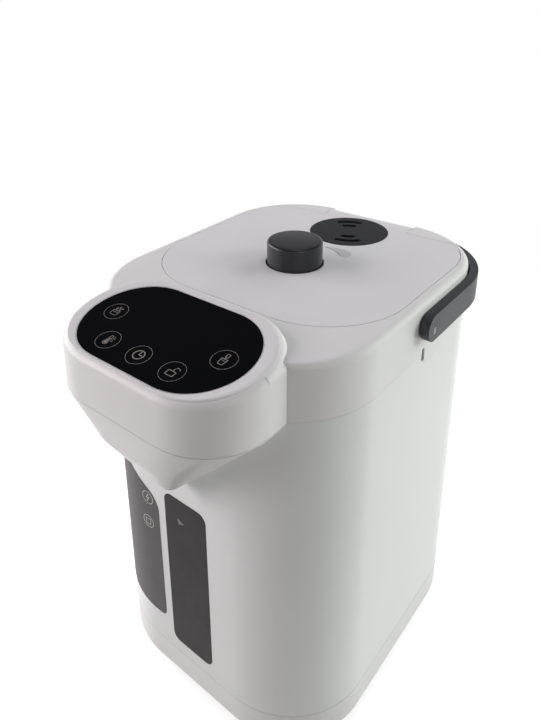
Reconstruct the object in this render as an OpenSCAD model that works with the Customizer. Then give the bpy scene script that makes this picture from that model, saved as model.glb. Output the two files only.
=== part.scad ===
// Electric thermo pot: a five-litre hot water dispenser with an electric pump, a hand pump
// in its lid, a tilted control head over the spout, a folding handle and a swivel base.
// Millimetres, +Z up, front towards -Y. The origin is on the floor, on the body's centre line.

/* [Body] */
// Width of the body, side to side
body_w = 214; // [200:1:230]
// Depth of the body without the head and the handle
body_d = 258; // [246:1:270]
// Plan corner radius of the body
body_r = 68; // [64:1:78]
// Height of the lid's top above the floor
body_h = 330; // [325:1:360]
// Height of the collar that carries the lid and the handle
collar_h = 39.5; // [38:0.5:44]
// Wall of the collar and of the base skirt
collar_wall = 3; // [2.4:0.1:3.4]
// Thickness of the collar's deck in front of the lid
deck_t = 3.5; // [3:0.1:4.5]
// Rounding of the collar's top edge
top_round = 5; // [4:0.5:7]
// Sheet of the outer jacket
jacket_t = 1.2; // [0.8:0.1:1.6]
// Width of the level window in the jacket
window_w = 40; // [34:1:46]
// Height of the level window
window_h = 146; // [120:1:160]
// Height of the window's lower edge above the floor
window_z = 46; // [42:1:60]

/* [Base] */
// Height of the base skirt
skirt_h = 25; // [22:1:32]
// Rounding of the skirt's lower edge
skirt_round = 4; // [2:0.5:6]
// Radius of the swivel base
swivel_r = 88; // [80:1:96]
// Height of the swivel base's bearing ring above the floor
swivel_h = 9; // [8:0.5:11]
// Radius of the swivel hub
hub_r = 12; // [9:0.5:16]
// Thickness of the base plate
base_t = 3; // [2.4:0.1:4]

/* [Lid] */
// Width of the collar's rim on each side of the lid plate
rim_w = 7.7; // [7.4:0.1:10]
// Depth of the deck between the body's front and the lid's front edge
deck_d = 50.5; // [49:0.5:55]
// Plan corner radius of the lid plate
lid_r = 63.9; // [56:0.1:66]
// Radius of the hinge barrel along the rear edge
barrel_r = 10; // [9:0.5:11]
// Radius of the hinge pin
hinge_pin_r = 2; // [1.5:0.1:2.5]
// Distance from the hinge pin forward to the vent disc's centre
vent_in = 36.7; // [35:0.1:41]
// Radius of the vent disc
vent_r = 32.4; // [26:0.2:33]

/* [Knob and hand pump] */
// Radius of the pump knob
knob_r = 21.1; // [18:0.1:22]
// Height of the knob above the lid
knob_h = 18; // [15:0.5:24]
// Distance from the centre line to the knob's centre
knob_y = 2.8; // [0:0.1:5]
// Press travel of the knob
knob_travel = 12; // [8:0.5:12]
// Turn of the knob that shoots the latch bolt
knob_turn = 50; // [40:1:55]
// Travel of the latch bolt
bolt_travel = 6; // [5:0.1:6]
// Radius of the bellows
bellows_r = 31; // [27:0.5:32]

/* [Control head] */
// Width of the control head
head_w = 158; // [150:1:164]
// How far the head's front stands before the body's front
head_reach = 50.5; // [46:0.5:54]
// How far the head's rim lies over the deck, behind the body's front
head_over = 43; // [39:0.5:45]
// Plan corner radius of the head
head_r = 46; // [42:1:48]
// Backward rise of the panel, in degrees
head_tilt = 8.8; // [6:0.1:11]
// Rounding of the head's upper edge
head_round = 6.5; // [4:0.5:8]
// Wall of the head and of the spout cover
head_wall = 2.5; // [2:0.1:3]
// Width of the glass panel
glass_w = 132; // [124:1:136]
// Depth of the glass panel, measured along its slope
glass_d = 79; // [74:0.2:81]
// Plan corner radius of the glass panel
glass_r = 39; // [34:0.1:39.4]
// Thickness of the glass panel
glass_t = 1.5; // [1:0.1:1.5]
// Distance from the body's front forward to the nozzle's axis
nozzle_reach = 10.5; // [9:0.1:12]
// How far the nozzle's end lies below the lid's top
nozzle_drop = 111.6; // [110:0.2:124]
// Outer radius of the nozzle
nozzle_r = 5; // [4.8:0.1:5.6]

/* [Handle] */
// Height of the handle's bar
handle_h = 19.6; // [16:0.2:22]
// Thickness of the handle's bar
handle_t = 6; // [5:0.5:7]
// Gap between the handle and the collar
handle_gap = 1.5; // [1:0.1:2]
// Distance from the centre line to the handle's pivot
pivot_y = 2; // [0:0.5:10]
// Radius of the pivot pin
pivot_r = 4; // [3:0.1:5]

/* [Inner pot] */
// Distance from the body's side to the inside of the pot
pot_side = 22; // [21:0.5:27]
// Distance from the body's rear to the inside of the pot
pot_back = 22.5; // [22:0.5:24]
// Sheet of the pot
pot_t = 1; // [0.8:0.1:1.2]
// Height of the pot's underside above the floor
pot_z = 76; // [74:1:90]
// Corner radius at the pot's bottom
pot_corner = 12; // [8:1:20]
// How far the mouth's edge covers the pot's wall
mouth_lip = 3; // [2:0.5:7]

/* [Water path] */
// Outer radius of the level tube
tube_r = 4.5; // [4.2:0.1:5]
// Wall of the level tube
tube_t = 0.8; // [0.6:0.1:1]
// Distance from the body's front back to the level tube's axis
tube_in = 17; // [16:0.2:19]
// Radius of the pump's volute
pump_r = 20; // [18:0.5:22]
// Radius of the pump motor
motor_r = 13.8; // [12:0.2:15]

/* [Hidden] */
$fn = 64;

// Shared clearances
seam = 0.2;           // butt joint between two fixed mouldings
lid_gap = 0.6;        // seam round the lid
run_gap = 0.3;        // running gap between faces of different bodies
pin_gap = 0.06;       // radial clearance of a turning pin
slide_gap = 0.4;      // clearance of a loose guide

// Levels, from the lid down
collar_z = body_h - collar_h;
deck_z = body_h - deck_t;
barrel_y = body_d / 2 - barrel_r;
barrel_z = body_h - barrel_r;
hinge_clear = 16;                  // the collar stays this near the hinge axis, the lid beyond it
tail_y = barrel_y - hinge_clear - 1;    // where the lid's middle part starts to reach to the rear
tail_half = 40;                    // half the width of that middle part
tail_in = 1.5;                     // it stays this far inside the body's outline
cover_t = 2.5;                     // top of the lid cover
cover_wall = 2.2;
cover_h = 14;                      // depth of the lid cover's side wall
cover_z = body_h - cover_h;        // underside of the lid cover's side wall
lid_base_h = 7;
lid_base_t = 3;
lid_base_z = cover_z - lid_base_h;
lid_floor_z = lid_base_z + lid_base_t;
lid_inset = 1.5;                   // the lid base is this much smaller all round
inner_lid_t = 1;
inner_lid_z = lid_base_z - inner_lid_t;
mouth_t = 3;
mouth_z = inner_lid_z - 6;         // underside of the mouth ring
mouth_top = mouth_z + mouth_t;
gasket_t = 2;
flange_t = 1;
flange_w = 4;
flange_z = mouth_z - gasket_t - flange_t;
clamp_t = 3;
lid_w = body_w - 2 * rim_w;
lid_front = body_d / 2 - deck_d;   // the lid's front edge lies this far before the centre line
lid_back = body_d / 2 - 1.1;       // and its plan reaches this far behind it
lid_d = lid_back + lid_front;
vent_y = barrel_y - vent_in;
lid_yc = lid_d / 2 - lid_front;

// Pot
pot_r = body_w / 2 - pot_side;
pot_y = body_d / 2 - pot_back - pot_r;
mouth_r = pot_r - mouth_lip;

// Base
plate_z = swivel_h + run_gap;
skirt_top = plate_z + skirt_h;
jacket_z = skirt_top + seam;
lip_h = 6;
post_h = 8;
screw_r = 1.6;
screw_head_r = 3;
boss_h = 14;
rod_r = 2;
rod_n = 4;
rod_ring = pot_r + pot_t + 10.2;   // tie rods stand on this circle round the pot

// Hand pump
knob_wall = 2;
cup_wall = 1.6;
cup_r = bellows_r + 3.4;
knob_foot = body_h - 21;           // lower end of the knob's skirt
cap_t = 3;
bellows_top = knob_foot - cap_t;
bellows_low = 9;                   // height of the bellows with the knob pressed
cup_floor = bellows_top - knob_travel - bellows_low;
cup_z = cup_floor - 2;
key_w = 4;
key_t = 2;
ring_wall = 4.5;
ring_z = lid_floor_z + run_gap;
ring_top = body_h - cover_t - 0.7;
ring_lip = 1.8;                    // the lock ring's top lip, which stops the knob's keys
ring_r = knob_r + slide_gap + ring_wall;
cam_t = 3;
cam_r0 = ring_r + 3.4;             // slot radius with the bolt back
cam_pin_r = 2;
cam_margin = 10;                   // the slot runs this far past both ends, in degrees
bolt_z = ring_z + cam_t + run_gap;
bolt_t = 4;
bolt_w = 24;
bolt_tip = lid_front - 2;

// Head
head_front = body_d / 2 + head_reach;
head_back = body_d / 2 - head_over;
rim_y = -(head_front + head_back) / 2;
rim_d = (head_front - head_back) / cos(head_tilt);
glass_shift = -1.7;                // the glass sits a little forward in its rim
rim_z = body_h + 0.4;              // height of the rim's plane at its centre
neck_y = head_front - head_r - 0.5;
neck_back = head_back + 8;
chin_z = body_h - 66;              // level of the spout cover's lower break
chin_w = 100;
chin_front = body_d / 2 + 46;
chin_r = 36;
spout_z = body_h - 112;            // lower end of the spout cover
nozzle_y = body_d / 2 + nozzle_reach;
nozzle_z = body_h - nozzle_drop;
spout_r = nozzle_r + 2;
vee_z = body_h - 118;              // point of the V on the body's front
pipe_r = 5;
pipe_bore = 3.5;
tube_y = body_d / 2 - tube_in;
pipe_bend = (nozzle_y - tube_y) / 2;
pipe_top = body_h - 30;
pipe_foot = nozzle_z + 13.5;

// Handle
handle_z = body_h - 7.4 - handle_h;
pivot_z = handle_z + handle_h / 2;
handle_in = handle_gap;
handle_out = handle_gap + handle_t;
cap_r = 6.5;
cap_h = 2.6;

// Pump, on the centre line of the pot's outlet
pump_x = -14;
pump_y = pot_y - pot_r + 25.5;
motor_z = plate_z + base_t + 0.7;
motor_h = 22;
magnet_z = motor_z + motor_h + 2;
magnet_h = 6;
volute_z = magnet_z + magnet_h + 1;
volute_h = 12;
volute_floor = 1.5;
pump_wall = 2;
port_r = 4.5;
port_z = volute_z + volute_h / 2;
hose_t = 1.9;
hose_bend = 14;
hose_y = 66;

// Side tab of the collar, below the handle's pivot
tab_y = 6;
tab_w = 26;
tab_h = 9;
slot_w = 3.5;
slot_h = 10;

white = [0.93, 0.93, 0.92];
pale = [0.80, 0.81, 0.83];
jacket_white = [0.90, 0.93, 0.91];
charcoal = [0.27, 0.28, 0.30];
glass_black = [0.05, 0.06, 0.07];
steel = [0.75, 0.76, 0.78];
rubber = [0.85, 0.82, 0.78];
board_green = [0.10, 0.38, 0.22];

// ---------------------------------------------------------------- shared shapes

// A rectangle with round corners, centred
module rrect(w, d, r) {
  square([w - 2 * r, d], center = true);
  square([w, d - 2 * r], center = true);
  for (sx = [-1, 1], sy = [-1, 1])
    translate([sx * (w / 2 - r), sy * (d / 2 - r)]) circle(r);
}

module slab(w, d, h, r) {
  linear_extrude(h) rrect(w, d, r);
}

// Half of an upright section, w wide and h high, with its upper outer edge rounded by e
module edge_section(w, h, e) {
  square([w - e, h]);
  square([w, h - e]);
  translate([w - e, h - e]) circle(e);
}

// A slab whose top edge is rounded by e: two bars, two side bars and four quarter corners
module round_slab(w, d, h, r, e) {
  x = w / 2 - r;
  y = d / 2 - r;
  for (s = [0, 1]) mirror([0, s, 0]) {
    rotate([90, 0, 90]) linear_extrude(2 * x, center = true) edge_section(d / 2, h, e);
    for (m = [0, 1]) mirror([m, 0, 0]) translate([x, y, 0])
      rotate_extrude(angle = 90) edge_section(r, h, e);
  }
  for (m = [0, 1]) mirror([m, 0, 0]) translate([x, 0, 0])
    rotate([90, 0, 0]) linear_extrude(2 * y, center = true) edge_section(r, h, e);
}

// The body's outline, grown by g, between two heights
module body_prism(z0, z1, g = 0) {
  translate([0, 0, z0]) slab(body_w + 2 * g, body_d + 2 * g, z1 - z0, body_r + g);
}

// The collar's outside, which the lid follows
module body_top(g = 0) {
  translate([0, 0, collar_z - 20])
    round_slab(body_w + 2 * g, body_d + 2 * g, collar_h + 20 + g, body_r + g, top_round + g);
}

module ring(r0, r1, z0, z1) {
  translate([0, 0, z0]) difference() {
    cylinder(r = r1, h = z1 - z0);
    translate([0, 0, -1]) cylinder(r = r0, h = z1 - z0 + 2);
  }
}

// A round tube's wall along z
module pipe(r, bore, z0, z1) {
  ring(bore, r, z0, z1);
}

// The lid plate's outline, grown by g
module lid_plan(g = 0) {
  translate([0, lid_yc]) rrect(lid_w + 2 * g, lid_d + 2 * g, lid_r + g);
}

// What lies in front of the hinge axis, and the barrel round it
module hinge_reach(r) {
  translate([-body_w, -body_d, 0]) cube([2 * body_w, body_d + barrel_y, 2 * body_h]);
  translate([-body_w, barrel_y, barrel_z]) rotate([0, 90, 0]) cylinder(r = r, h = 2 * body_w);
}

// A solid turned about the hinge axis: the collar stays inside it and the lid outside, so the
// lid's rear corners swing past the collar. At the top it follows the lid's outline, plus g,
// a little inside it so that no edges coincide.
module hinge_zone(g) {
  n = 8;
  inside = 0.15;
  r = lid_r + g;
  corner = [lid_w / 2 - lid_r, lid_yc + lid_d / 2 - lid_r];
  seam_y = barrel_y - sqrt(pow(hinge_clear - g, 2) - pow(barrel_r, 2));
  a0 = asin((seam_y - corner.y) / r);
  turned = [for (i = [0:n]) [corner.x + r * cos(a0 * (1 - i / n)), r * sin(a0 * (1 - i / n))]];
  side = [for (i = [0:n]) [norm([barrel_y - corner.y - turned[i].y, barrel_r]) + inside,
    turned[i].x + (i == n ? 3 : 0)]];
  translate([0, barrel_y, barrel_z]) rotate([0, 90, 0]) rotate_extrude()
    polygon(concat([[0, -side[n].y]], [for (i = [n:-1:0]) [side[i].x, -side[i].y]], side,
      [[0, side[n].y]]));
}

module at_knob() {
  translate([0, knob_y, 0]) children();
}

module at_pot() {
  translate([0, pot_y, 0]) children();
}

module at_pump() {
  translate([pump_x, pump_y, 0]) children();
}

// The panel's own frame: its plane is z = 0
module at_panel() {
  translate([0, rim_y, rim_z]) rotate([head_tilt, 0, 0]) children();
}

// The same, at the glass panel's centre
module at_glass() {
  at_panel() translate([0, glass_shift, 0]) children();
}

module rods_round_pot() {
  for (i = [0:rod_n - 1])
    at_pot() rotate([0, 0, 45 + i * 360 / rod_n]) translate([rod_ring, 0, 0]) children();
}

// A coil spring standing on z0, with an eight-sided wire
module coil(radius, wire, z0, z1, turns) {
  per_turn = 16;
  sides = 8;
  steps = per_turn * turns;
  points = [for (i = [0:steps], j = [0:sides - 1])
    let (a = 360 * i / per_turn, b = 360 * j / sides, rr = radius + wire * cos(b))
    [rr * cos(a), rr * sin(a), z0 + wire + (z1 - z0 - 2 * wire) * i / steps + wire * sin(b)]];
  walls = [for (i = [0:steps - 1], j = [0:sides - 1])
    let (a = i * sides + j, b = i * sides + (j + 1) % sides)
    [a, b, b + sides, a + sides]];
  ends = [[for (j = [sides - 1:-1:0]) j], [for (j = [0:sides - 1]) steps * sides + j]];
  polyhedron(points, concat(walls, ends), convexity = 10);
}

// ---------------------------------------------------------------- swivel base

module swivel_base() color(charcoal) difference() {
  union() {
    cylinder(r = swivel_r, h = 3);
    ring(swivel_r - 3, swivel_r, 0, swivel_h - 2.5);
    ring(swivel_r - 26, swivel_r - 18, 0, swivel_h);
    cylinder(r = hub_r + 5, h = swivel_h - 2);
    cylinder(r = hub_r, h = plate_z + base_t + run_gap);
  }
  ring(swivel_r - 14, swivel_r - 4, -1, 1.5);
}

module grip_ring() color(rubber) ring(swivel_r - 14, swivel_r - 4, 0, 1.5);

module swivel_retainer() color(steel)
  translate([0, 0, plate_z + base_t + run_gap]) {
    cylinder(r = hub_r + 6, h = 1.6);
    cylinder(r = 4, h = 3.4);
  }

// ---------------------------------------------------------------- base and body

// Screw bosses stand near the four corners of the skirt
module corner_posts() {
  for (sx = [0, 1], sy = [0, 1]) mirror([sx, 0, 0]) mirror([0, sy, 0])
    translate([body_w / 2 - body_r, body_d / 2 - body_r, 0]) rotate([0, 0, 43])
      translate([body_r - 12, 0, 0]) children();
}

module base_plate() color(charcoal) difference() {
  union() {
    translate([0, 0, plate_z])
      slab(body_w - 2 * collar_wall - 2 * seam, body_d - 2 * collar_wall - 2 * seam, base_t,
        body_r - collar_wall - seam);
    rods_round_pot() translate([0, 0, plate_z + 1]) cylinder(r = 5, h = base_t - 1 + post_h);
    // Four posts carry the power board
    for (sx = [-1, 1], sy = [-1, 1])
      translate([board_x + sx * (board_w / 2 - 5), board_y + sy * (board_d / 2 - 5), plate_z])
        cylinder(r = 3, h = board_z - plate_z);
  }
  cylinder(r = hub_r + run_gap, h = body_h);
  rods_round_pot() translate([0, 0, plate_z + 1]) cylinder(r = rod_r, h = body_h);
  corner_posts() cylinder(r = screw_r + 0.2, h = body_h);
  corner_posts() cylinder(r = screw_head_r + 0.2, h = plate_z + 2);
  // Air slots
  for (s = [-1, 1], i = [0:6])
    translate([s * 72, -30 + i * 10, plate_z - 1]) slab(22, 3, base_t + 2, 1.4);
}

module base_skirt() color(white) difference() {
  union() {
    translate([0, 0, skirt_top]) mirror([0, 0, 1])
      round_slab(body_w, body_d, skirt_h, body_r, skirt_round);
    body_prism(skirt_top - 2, skirt_top + lip_h, -jacket_t - seam);
  }
  difference() {
    body_prism(plate_z - 1, skirt_top + lip_h + 1, -collar_wall);
    corner_posts() translate([0, 0, plate_z + base_t]) {
      cylinder(r = 4, h = boss_h);
      translate([0, -1, 0]) cube([20, 2, boss_h - 4]);
    }
  }
  corner_posts() cylinder(r = screw_r, h = plate_z + base_t + boss_h - 2);
}

module base_screws() color(steel) corner_posts() translate([0, 0, plate_z + 0.2]) {
  cylinder(r = screw_head_r, h = 1.8);
  cylinder(r = screw_r, h = base_t + boss_h - 4);
}

module tab_solid(g = 0) {
  for (s = [0, 1]) mirror([s, 0, 0])
    translate([body_w / 2 - collar_wall, 0, collar_z]) rotate([90, 0, 90])
      linear_extrude(collar_wall + g) difference() {
        translate([tab_y - g, -tab_h - g]) square([tab_w + 2 * g, tab_h + 2 * g + 1]);
        translate([tab_y + tab_w + g, -tab_h - g]) circle(4);
      }
}

module tab_slot() {
  for (s = [-1, 1])
    translate([s * body_w / 2, tab_y - slot_w / 2 - 0.5, collar_z - slot_h / 2 + 3])
      cube([12, slot_w, slot_h], center = true);
}

module window_plate(g, t, y) {
  translate([0, y, window_z + window_h / 2]) rotate([90, 0, 0])
    linear_extrude(t) rrect(window_w + 2 * g, window_h + 2 * g, 7 + g);
}

module outer_jacket() color(jacket_white) difference() {
  body_prism(jacket_z, collar_z - seam, -seam / 2);
  body_prism(jacket_z - 1, collar_z, -seam / 2 - jacket_t);
  window_plate(0.2, 12, -body_d / 2 + 6);
  tab_solid(seam);
  tab_slot();
  translate([0, body_d / 2, inlet_z])
    cube([inlet_w + 0.4, 12, inlet_h + 0.4], center = true);
}

module level_window() color(charcoal, 0.6) union() {
  window_plate(0, 2.2, -body_d / 2 + 2.1);
  difference() {
    window_plate(4, 1.2, -body_d / 2 + seam / 2 + jacket_t + 1.4);
    window_plate(-3, 4, -body_d / 2 + seam / 2 + jacket_t + 3);
  }
}

module pivot_axis(x0, x1, r) {
  for (s = [-1, 1])
    translate([s * x0, pivot_y, pivot_z]) rotate([0, s * 90, 0]) cylinder(r = r, h = x1 - x0);
}

module hinge_lugs() {
  for (s = [-1, 1]) translate([s * lug_x - lug_w / 2, 0, 0]) {
    translate([0, barrel_y, barrel_z]) rotate([0, 90, 0]) cylinder(r = lug_r, h = lug_w);
    translate([0, barrel_y - lug_r, barrel_z - lug_drop]) cube([lug_w, 2 * lug_r, lug_drop]);
    translate([0, barrel_y, barrel_z - lug_drop])
      cube([lug_w, barrel_r - collar_wall + 0.5, lug_drop - barrel_r - lid_gap]);
  }
}

module collar() color(white) difference() {
  union() {
    difference() {
      intersection() {
        body_top();
        translate([-body_w, -body_d, collar_z]) cube([2 * body_w, 2 * body_d, body_h]);
      }
      body_prism(collar_z - 1, deck_z, -collar_wall);
      // The lid's opening, and the notch in the rear wall that its tail turns in
      difference() {
        union() {
          translate([0, 0, deck_z - 1]) linear_extrude(deck_t + 2) lid_plan(lid_gap);
          translate([0, 0, cover_z - 1]) linear_extrude(deck_z - cover_z + 1)
            lid_plan(2 * lid_gap);
        }
        hinge_zone(lid_gap);
      }
      translate([-tail_half - lid_gap, tail_y - lid_gap, barrel_z - barrel_r - lid_gap])
        cube([2 * (tail_half + lid_gap), body_d, body_h]);
    }
    // Ledge that carries the mouth ring
    difference() {
      body_prism(mouth_z - 3, mouth_z, -collar_wall + 0.5);
      body_prism(mouth_z - 4, mouth_z + 1, -collar_wall - 2.5);
    }
    tab_solid();
    hinge_lugs();
    // Keeper that the latch bolt shoots under
    translate([-bolt_w / 2 - 8, -lid_front - 10, bolt_z + bolt_t + run_gap])
      cube([bolt_w + 16, 8.6, deck_z - bolt_z - bolt_t - run_gap + 0.5]);
    pivot_axis(lid_w / 2 + 0.9, body_w / 2 - 1, pivot_r + 3);
  }
  pivot_axis(body_w / 2 - 20, body_w / 2 + 10, pivot_r);
  tab_slot();
  // Way for the outlet pipe and the wiring into the head
  translate([-26, -body_d / 2 - 5, pipe_top - 5])
    cube([52, 12, pipe_bend + pipe_r + 7]);
  translate([-body_w, barrel_y, barrel_z]) rotate([0, 90, 0])
    cylinder(r = hinge_pin_r, h = 2 * body_w);
}

module mouth_ring() color(white) difference() {
  union() {
    body_prism(mouth_z, mouth_top, -collar_wall - seam);
    rods_round_pot() translate([0, 0, mouth_z - gasket_t - flange_t + seam])
      cylinder(r = 4.5, h = gasket_t + flange_t);
  }
  at_pot() translate([0, 0, mouth_z - 1]) cylinder(r = mouth_r, h = mouth_t + 2);
  rods_round_pot() translate([0, 0, flange_z - 1]) cylinder(r = rod_r, h = gasket_t + flange_t + 2);
  // Room for the hinge lugs
  for (s = [-1, 1]) translate([s * lug_x - lug_w / 2 - 0.3, barrel_y - lug_r - 0.3, mouth_z - 1])
    cube([lug_w + 0.6, 30, mouth_t + 2]);
  // Room for the outlet pipe
  translate([-9, -body_d / 2, mouth_z - 1]) cube([18, 22, mouth_t + 2]);
}

module clamp_ring() color(steel) difference() {
  at_pot() ring(pot_r + pot_t + 0.3, rod_ring + 3.4, flange_z - clamp_t, flange_z);
  rods_round_pot() translate([0, 0, flange_z - clamp_t - 1]) cylinder(r = rod_r, h = clamp_t + 2);
}

module tie_rods() color(steel) rods_round_pot() {
  translate([0, 0, plate_z + 1]) cylinder(r = rod_r, h = mouth_z - plate_z - 1);
  translate([0, 0, flange_z - clamp_t - 3.2]) cylinder(r = 4, h = 3.2, $fn = 6);
}

// ---------------------------------------------------------------- control head

// Smooth hull of the head: a tilted round-edged top over the plan outline at the seam
module head_hull(g, drop) {
  e = head_round - g;
  rc = head_r - g;
  w = head_w / 2 - g - rc;
  at_panel() hull() {
    for (sx = [-1, 1], sy = [-1, 1])
      translate([sx * w, sy * (rim_d / 2 - g - rc), -e - drop])
        rotate_extrude($fn = 48) translate([rc - e, 0]) circle(e, $fn = 24);
    rotate([-head_tilt, 0, 0]) for (sx = [-1, 1], sy = [-1, 1])
      translate([sx * w, sy * ((head_front - head_back) / 2 - g - rc), collar_z - rim_z - 3])
        cylinder(r = rc, h = 3.5, $fn = 48);
  }
}

// Neck between the head and the collar, flat-sided with rounded upper edges
module neck_block() {
  w = head_w / 2 - 0.15;
  translate([0, -neck_back, collar_z]) rotate([90, 0, 0])
    linear_extrude(neck_y - neck_back) {
      translate([-w, -2]) square([2 * w, collar_h - top_round + 2]);
      translate([-w + top_round, -2]) square([2 * (w - top_round), collar_h + 2]);
      for (s = [-1, 1])
        translate([s * (w - top_round), collar_h - top_round]) circle(top_round, $fn = 24);
    }
}

// The space the body takes out of the head
module body_space(g) {
  r = body_r + g;
  e = top_round;
  hull() for (sx = [-1, 1], sy = [-1, 1])
    translate([sx * (body_w / 2 - body_r), sy * (body_d / 2 - body_r), 0]) {
      translate([0, 0, collar_z - 20]) cylinder(r = r, h = 1, $fn = 48);
      translate([0, 0, body_h + g - e])
        rotate_extrude($fn = 48) translate([r - e, 0]) circle(e, $fn = 20);
    }
}

// Resized so that its faceted round corners keep the stated width
module head_cover() color(white) resize([head_w, 0, 0]) difference() {
  union() {
    head_hull(0, 0);
    neck_block();
  }
  // The hollow lies in front of the collar, and is open to it
  intersection() {
    union() {
      head_hull(head_wall, glass_t + head_wall);
      at_glass() translate([0, 0, -glass_t - 8])
        slab(glass_w - 9, glass_d - 9, 10, glass_r - 5);
    }
    translate([-body_w, -2 * body_d, 0])
      cube([2 * body_w, 1.5 * body_d + top_round + 1.5, 2 * body_h]);
  }
  body_space(2 * seam);
  translate([-body_w, -2 * body_d, collar_z - 50]) cube([2 * body_w, 2 * body_d, 50]);
  at_glass() translate([0, 0, -glass_t - 0.1])
    slab(glass_w + 0.4, glass_d + 0.4, 10, glass_r + 0.2);
}

module control_glass() color(glass_black)
  at_glass() translate([0, 0, -glass_t]) slab(glass_w, glass_d, glass_t - 0.1, glass_r);

// The board lies under the pads, with two chips on its underside
touch_t = 1.6;
touch_d = 38;

module control_board() color(board_green) at_glass() translate([0, 0, -glass_t - pad_h]) {
  translate([0, key_row_y / 2 - 4, -touch_t])
    slab(2 * (key_side_x + pad_r) + 5.4, touch_d, touch_t, 6);
  translate([key_side_x - 29.3, key_row_y - 0.4, -touch_t - 2.4]) cube([14, 14, 2.5]);
  translate([11.3 - key_side_x, key_row_y + 7.6, -touch_t - 3.4]) cube([12, 8, 3.5]);
}

// Five keys: one at each end and three along the front
pad_h = 5.4;
pad_r = 4;
key_side_x = glass_w / 2 - 18.7;
key_row_x = 28.2;
key_row_y = 15.9 - glass_d / 2;
KEYS = [[-key_side_x, 0], [-key_row_x, key_row_y], [0, key_row_y], [key_row_x, key_row_y],
  [key_side_x, 0]];

module touch_pads() color(rubber) at_glass() for (k = KEYS)
  translate([k[0], k[1], -glass_t - pad_h]) cylinder(r = pad_r, h = pad_h);

// Spout cover: closes the head from below and narrows to the nozzle
module spout_hull(g, low) {
  hull() {
    for (sx = [-1, 1], sy = [-1, 1])
      translate([sx * (head_w / 2 - head_r), rim_y + sy * ((head_front - head_back) / 2 - head_r),
          collar_z - seam - 0.5])
        cylinder(r = head_r - g, h = 0.5 + low, $fn = 48);
    translate([-head_w / 2 + g, -neck_y, collar_z - seam - 0.5])
      cube([head_w - 2 * g, neck_y - head_back, 0.5 + low]);
    for (s = [-1, 1]) translate([s * (chin_w / 2 - chin_r), -chin_front + chin_r, chin_z + g / 2])
      cylinder(r = chin_r - g, h = 0.5, $fn = 48);
    translate([0, -nozzle_y, spout_z + low]) cylinder(r = spout_r - g / 2, h = 0.5, $fn = 32);
    translate([-3, -body_d / 2 + 2, vee_z + 2 * g]) cube([6, 2, 1]);
  }
}

module spout_cover() color(white) difference() {
  spout_hull(0, 0);
  spout_hull(head_wall, 3);
  body_prism(0, body_h, seam);
  translate([0, -nozzle_y, 0]) cylinder(r = nozzle_r, h = body_h);
}

module spout_nozzle() color(white) translate([0, -nozzle_y, nozzle_z]) rotate_extrude()
  difference() {
    union() {
      translate([0, 1.5]) square([nozzle_r, 26]);
      square([nozzle_r - 1.5, 10]);
      translate([nozzle_r - 1.5, 1.5]) circle(1.5);
    }
    translate([-1, -1]) square([pipe_bore - 0.3 + 1, 40]);
    translate([-1, pipe_foot - nozzle_z]) square([nozzle_r - 0.6 + 1, 40]);
  }

// Swan neck from the level tube over the collar's wall and down to the nozzle
module outlet_pipe() color(rubber) {
  translate([0, -tube_y, 0]) {
    pipe(tube_r + 1.5, tube_r, pipe_top - 60, pipe_top - 46);
    pipe(pipe_r, pipe_bore, pipe_top - 46, pipe_top);
  }
  translate([0, -tube_y - pipe_bend, pipe_top]) rotate([90, 0, 90])
    rotate_extrude(angle = 180) translate([pipe_bend, 0]) difference() {
      circle(pipe_r);
      circle(pipe_bore);
    }
  translate([0, -nozzle_y, 0]) pipe(nozzle_r - 0.6, pipe_bore, pipe_foot, pipe_top - 50);
  translate([0, -nozzle_y, 0]) pipe(pipe_r, pipe_bore, pipe_top - 50, pipe_top);
}

module level_tube() color([0.8, 0.9, 0.95], 0.5)
  translate([0, -tube_y, 0]) pipe(tube_r, tube_r - tube_t, port_z + hose_bend - 2, pipe_top - 46);

// ---------------------------------------------------------------- pot and heating

module pot_profile(r, h, c) {
  square([r - c, h]);
  translate([0, c]) square([r, h - c]);
  translate([r - c, c]) circle(c);
}

module inner_pot() color(steel) difference() {
  union() {
    at_pot() translate([0, 0, pot_z]) rotate_extrude() {
      difference() {
        pot_profile(pot_r + pot_t, flange_z + flange_t - pot_z, pot_corner + pot_t);
        translate([0, pot_t]) pot_profile(pot_r, body_h, pot_corner);
        translate([-body_w, -1]) square([body_w, body_h]);
      }
      translate([pot_r, flange_z - pot_z]) square([flange_w, flange_t]);
    }
    at_pump() translate([0, 0, pot_z - 10]) cylinder(r = port_r, h = 10.5);
  }
  at_pump() translate([0, 0, pot_z - 11]) cylinder(r = port_r - 1, h = 13);
}

module pot_gasket() color(rubber)
  at_pot() ring(mouth_r + 0.5, pot_r + flange_w, mouth_z - gasket_t, mouth_z);

module outlet_strainer() color(steel) at_pump() translate([0, 0, pot_z + pot_t]) difference() {
  union() {
    cylinder(r = 10, h = 1);
    cylinder(r = 7.5, h = 6);
  }
  translate([0, 0, -1]) cylinder(r = 6.7, h = 6.2);
  for (i = [0:7]) rotate([0, 0, i * 45]) translate([0, 0, 3]) rotate([0, 90, 0])
    cylinder(r = 1, h = 12);
  for (i = [0:5]) rotate([0, 0, i * 60]) translate([4, 0, 0]) cylinder(r = 1, h = 12);
}

module heater_band() color([0.55, 0.5, 0.42]) at_pot() {
  ring(pot_r + pot_t, pot_r + pot_t + 2.6, pot_z + 8, pot_z + 36);
  for (s = [-1, 1]) rotate([0, 0, 90 + s * 5])
    translate([pot_r + pot_t + 2, -2, pot_z + 18]) cube([7, 4, 8]);
}

module insulation_sleeve() color([0.7, 0.7, 0.66])
  at_pot() ring(pot_r + pot_t + 0.3, pot_r + pot_t + 5, pot_z + 40, flange_z - clamp_t - 6);

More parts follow.
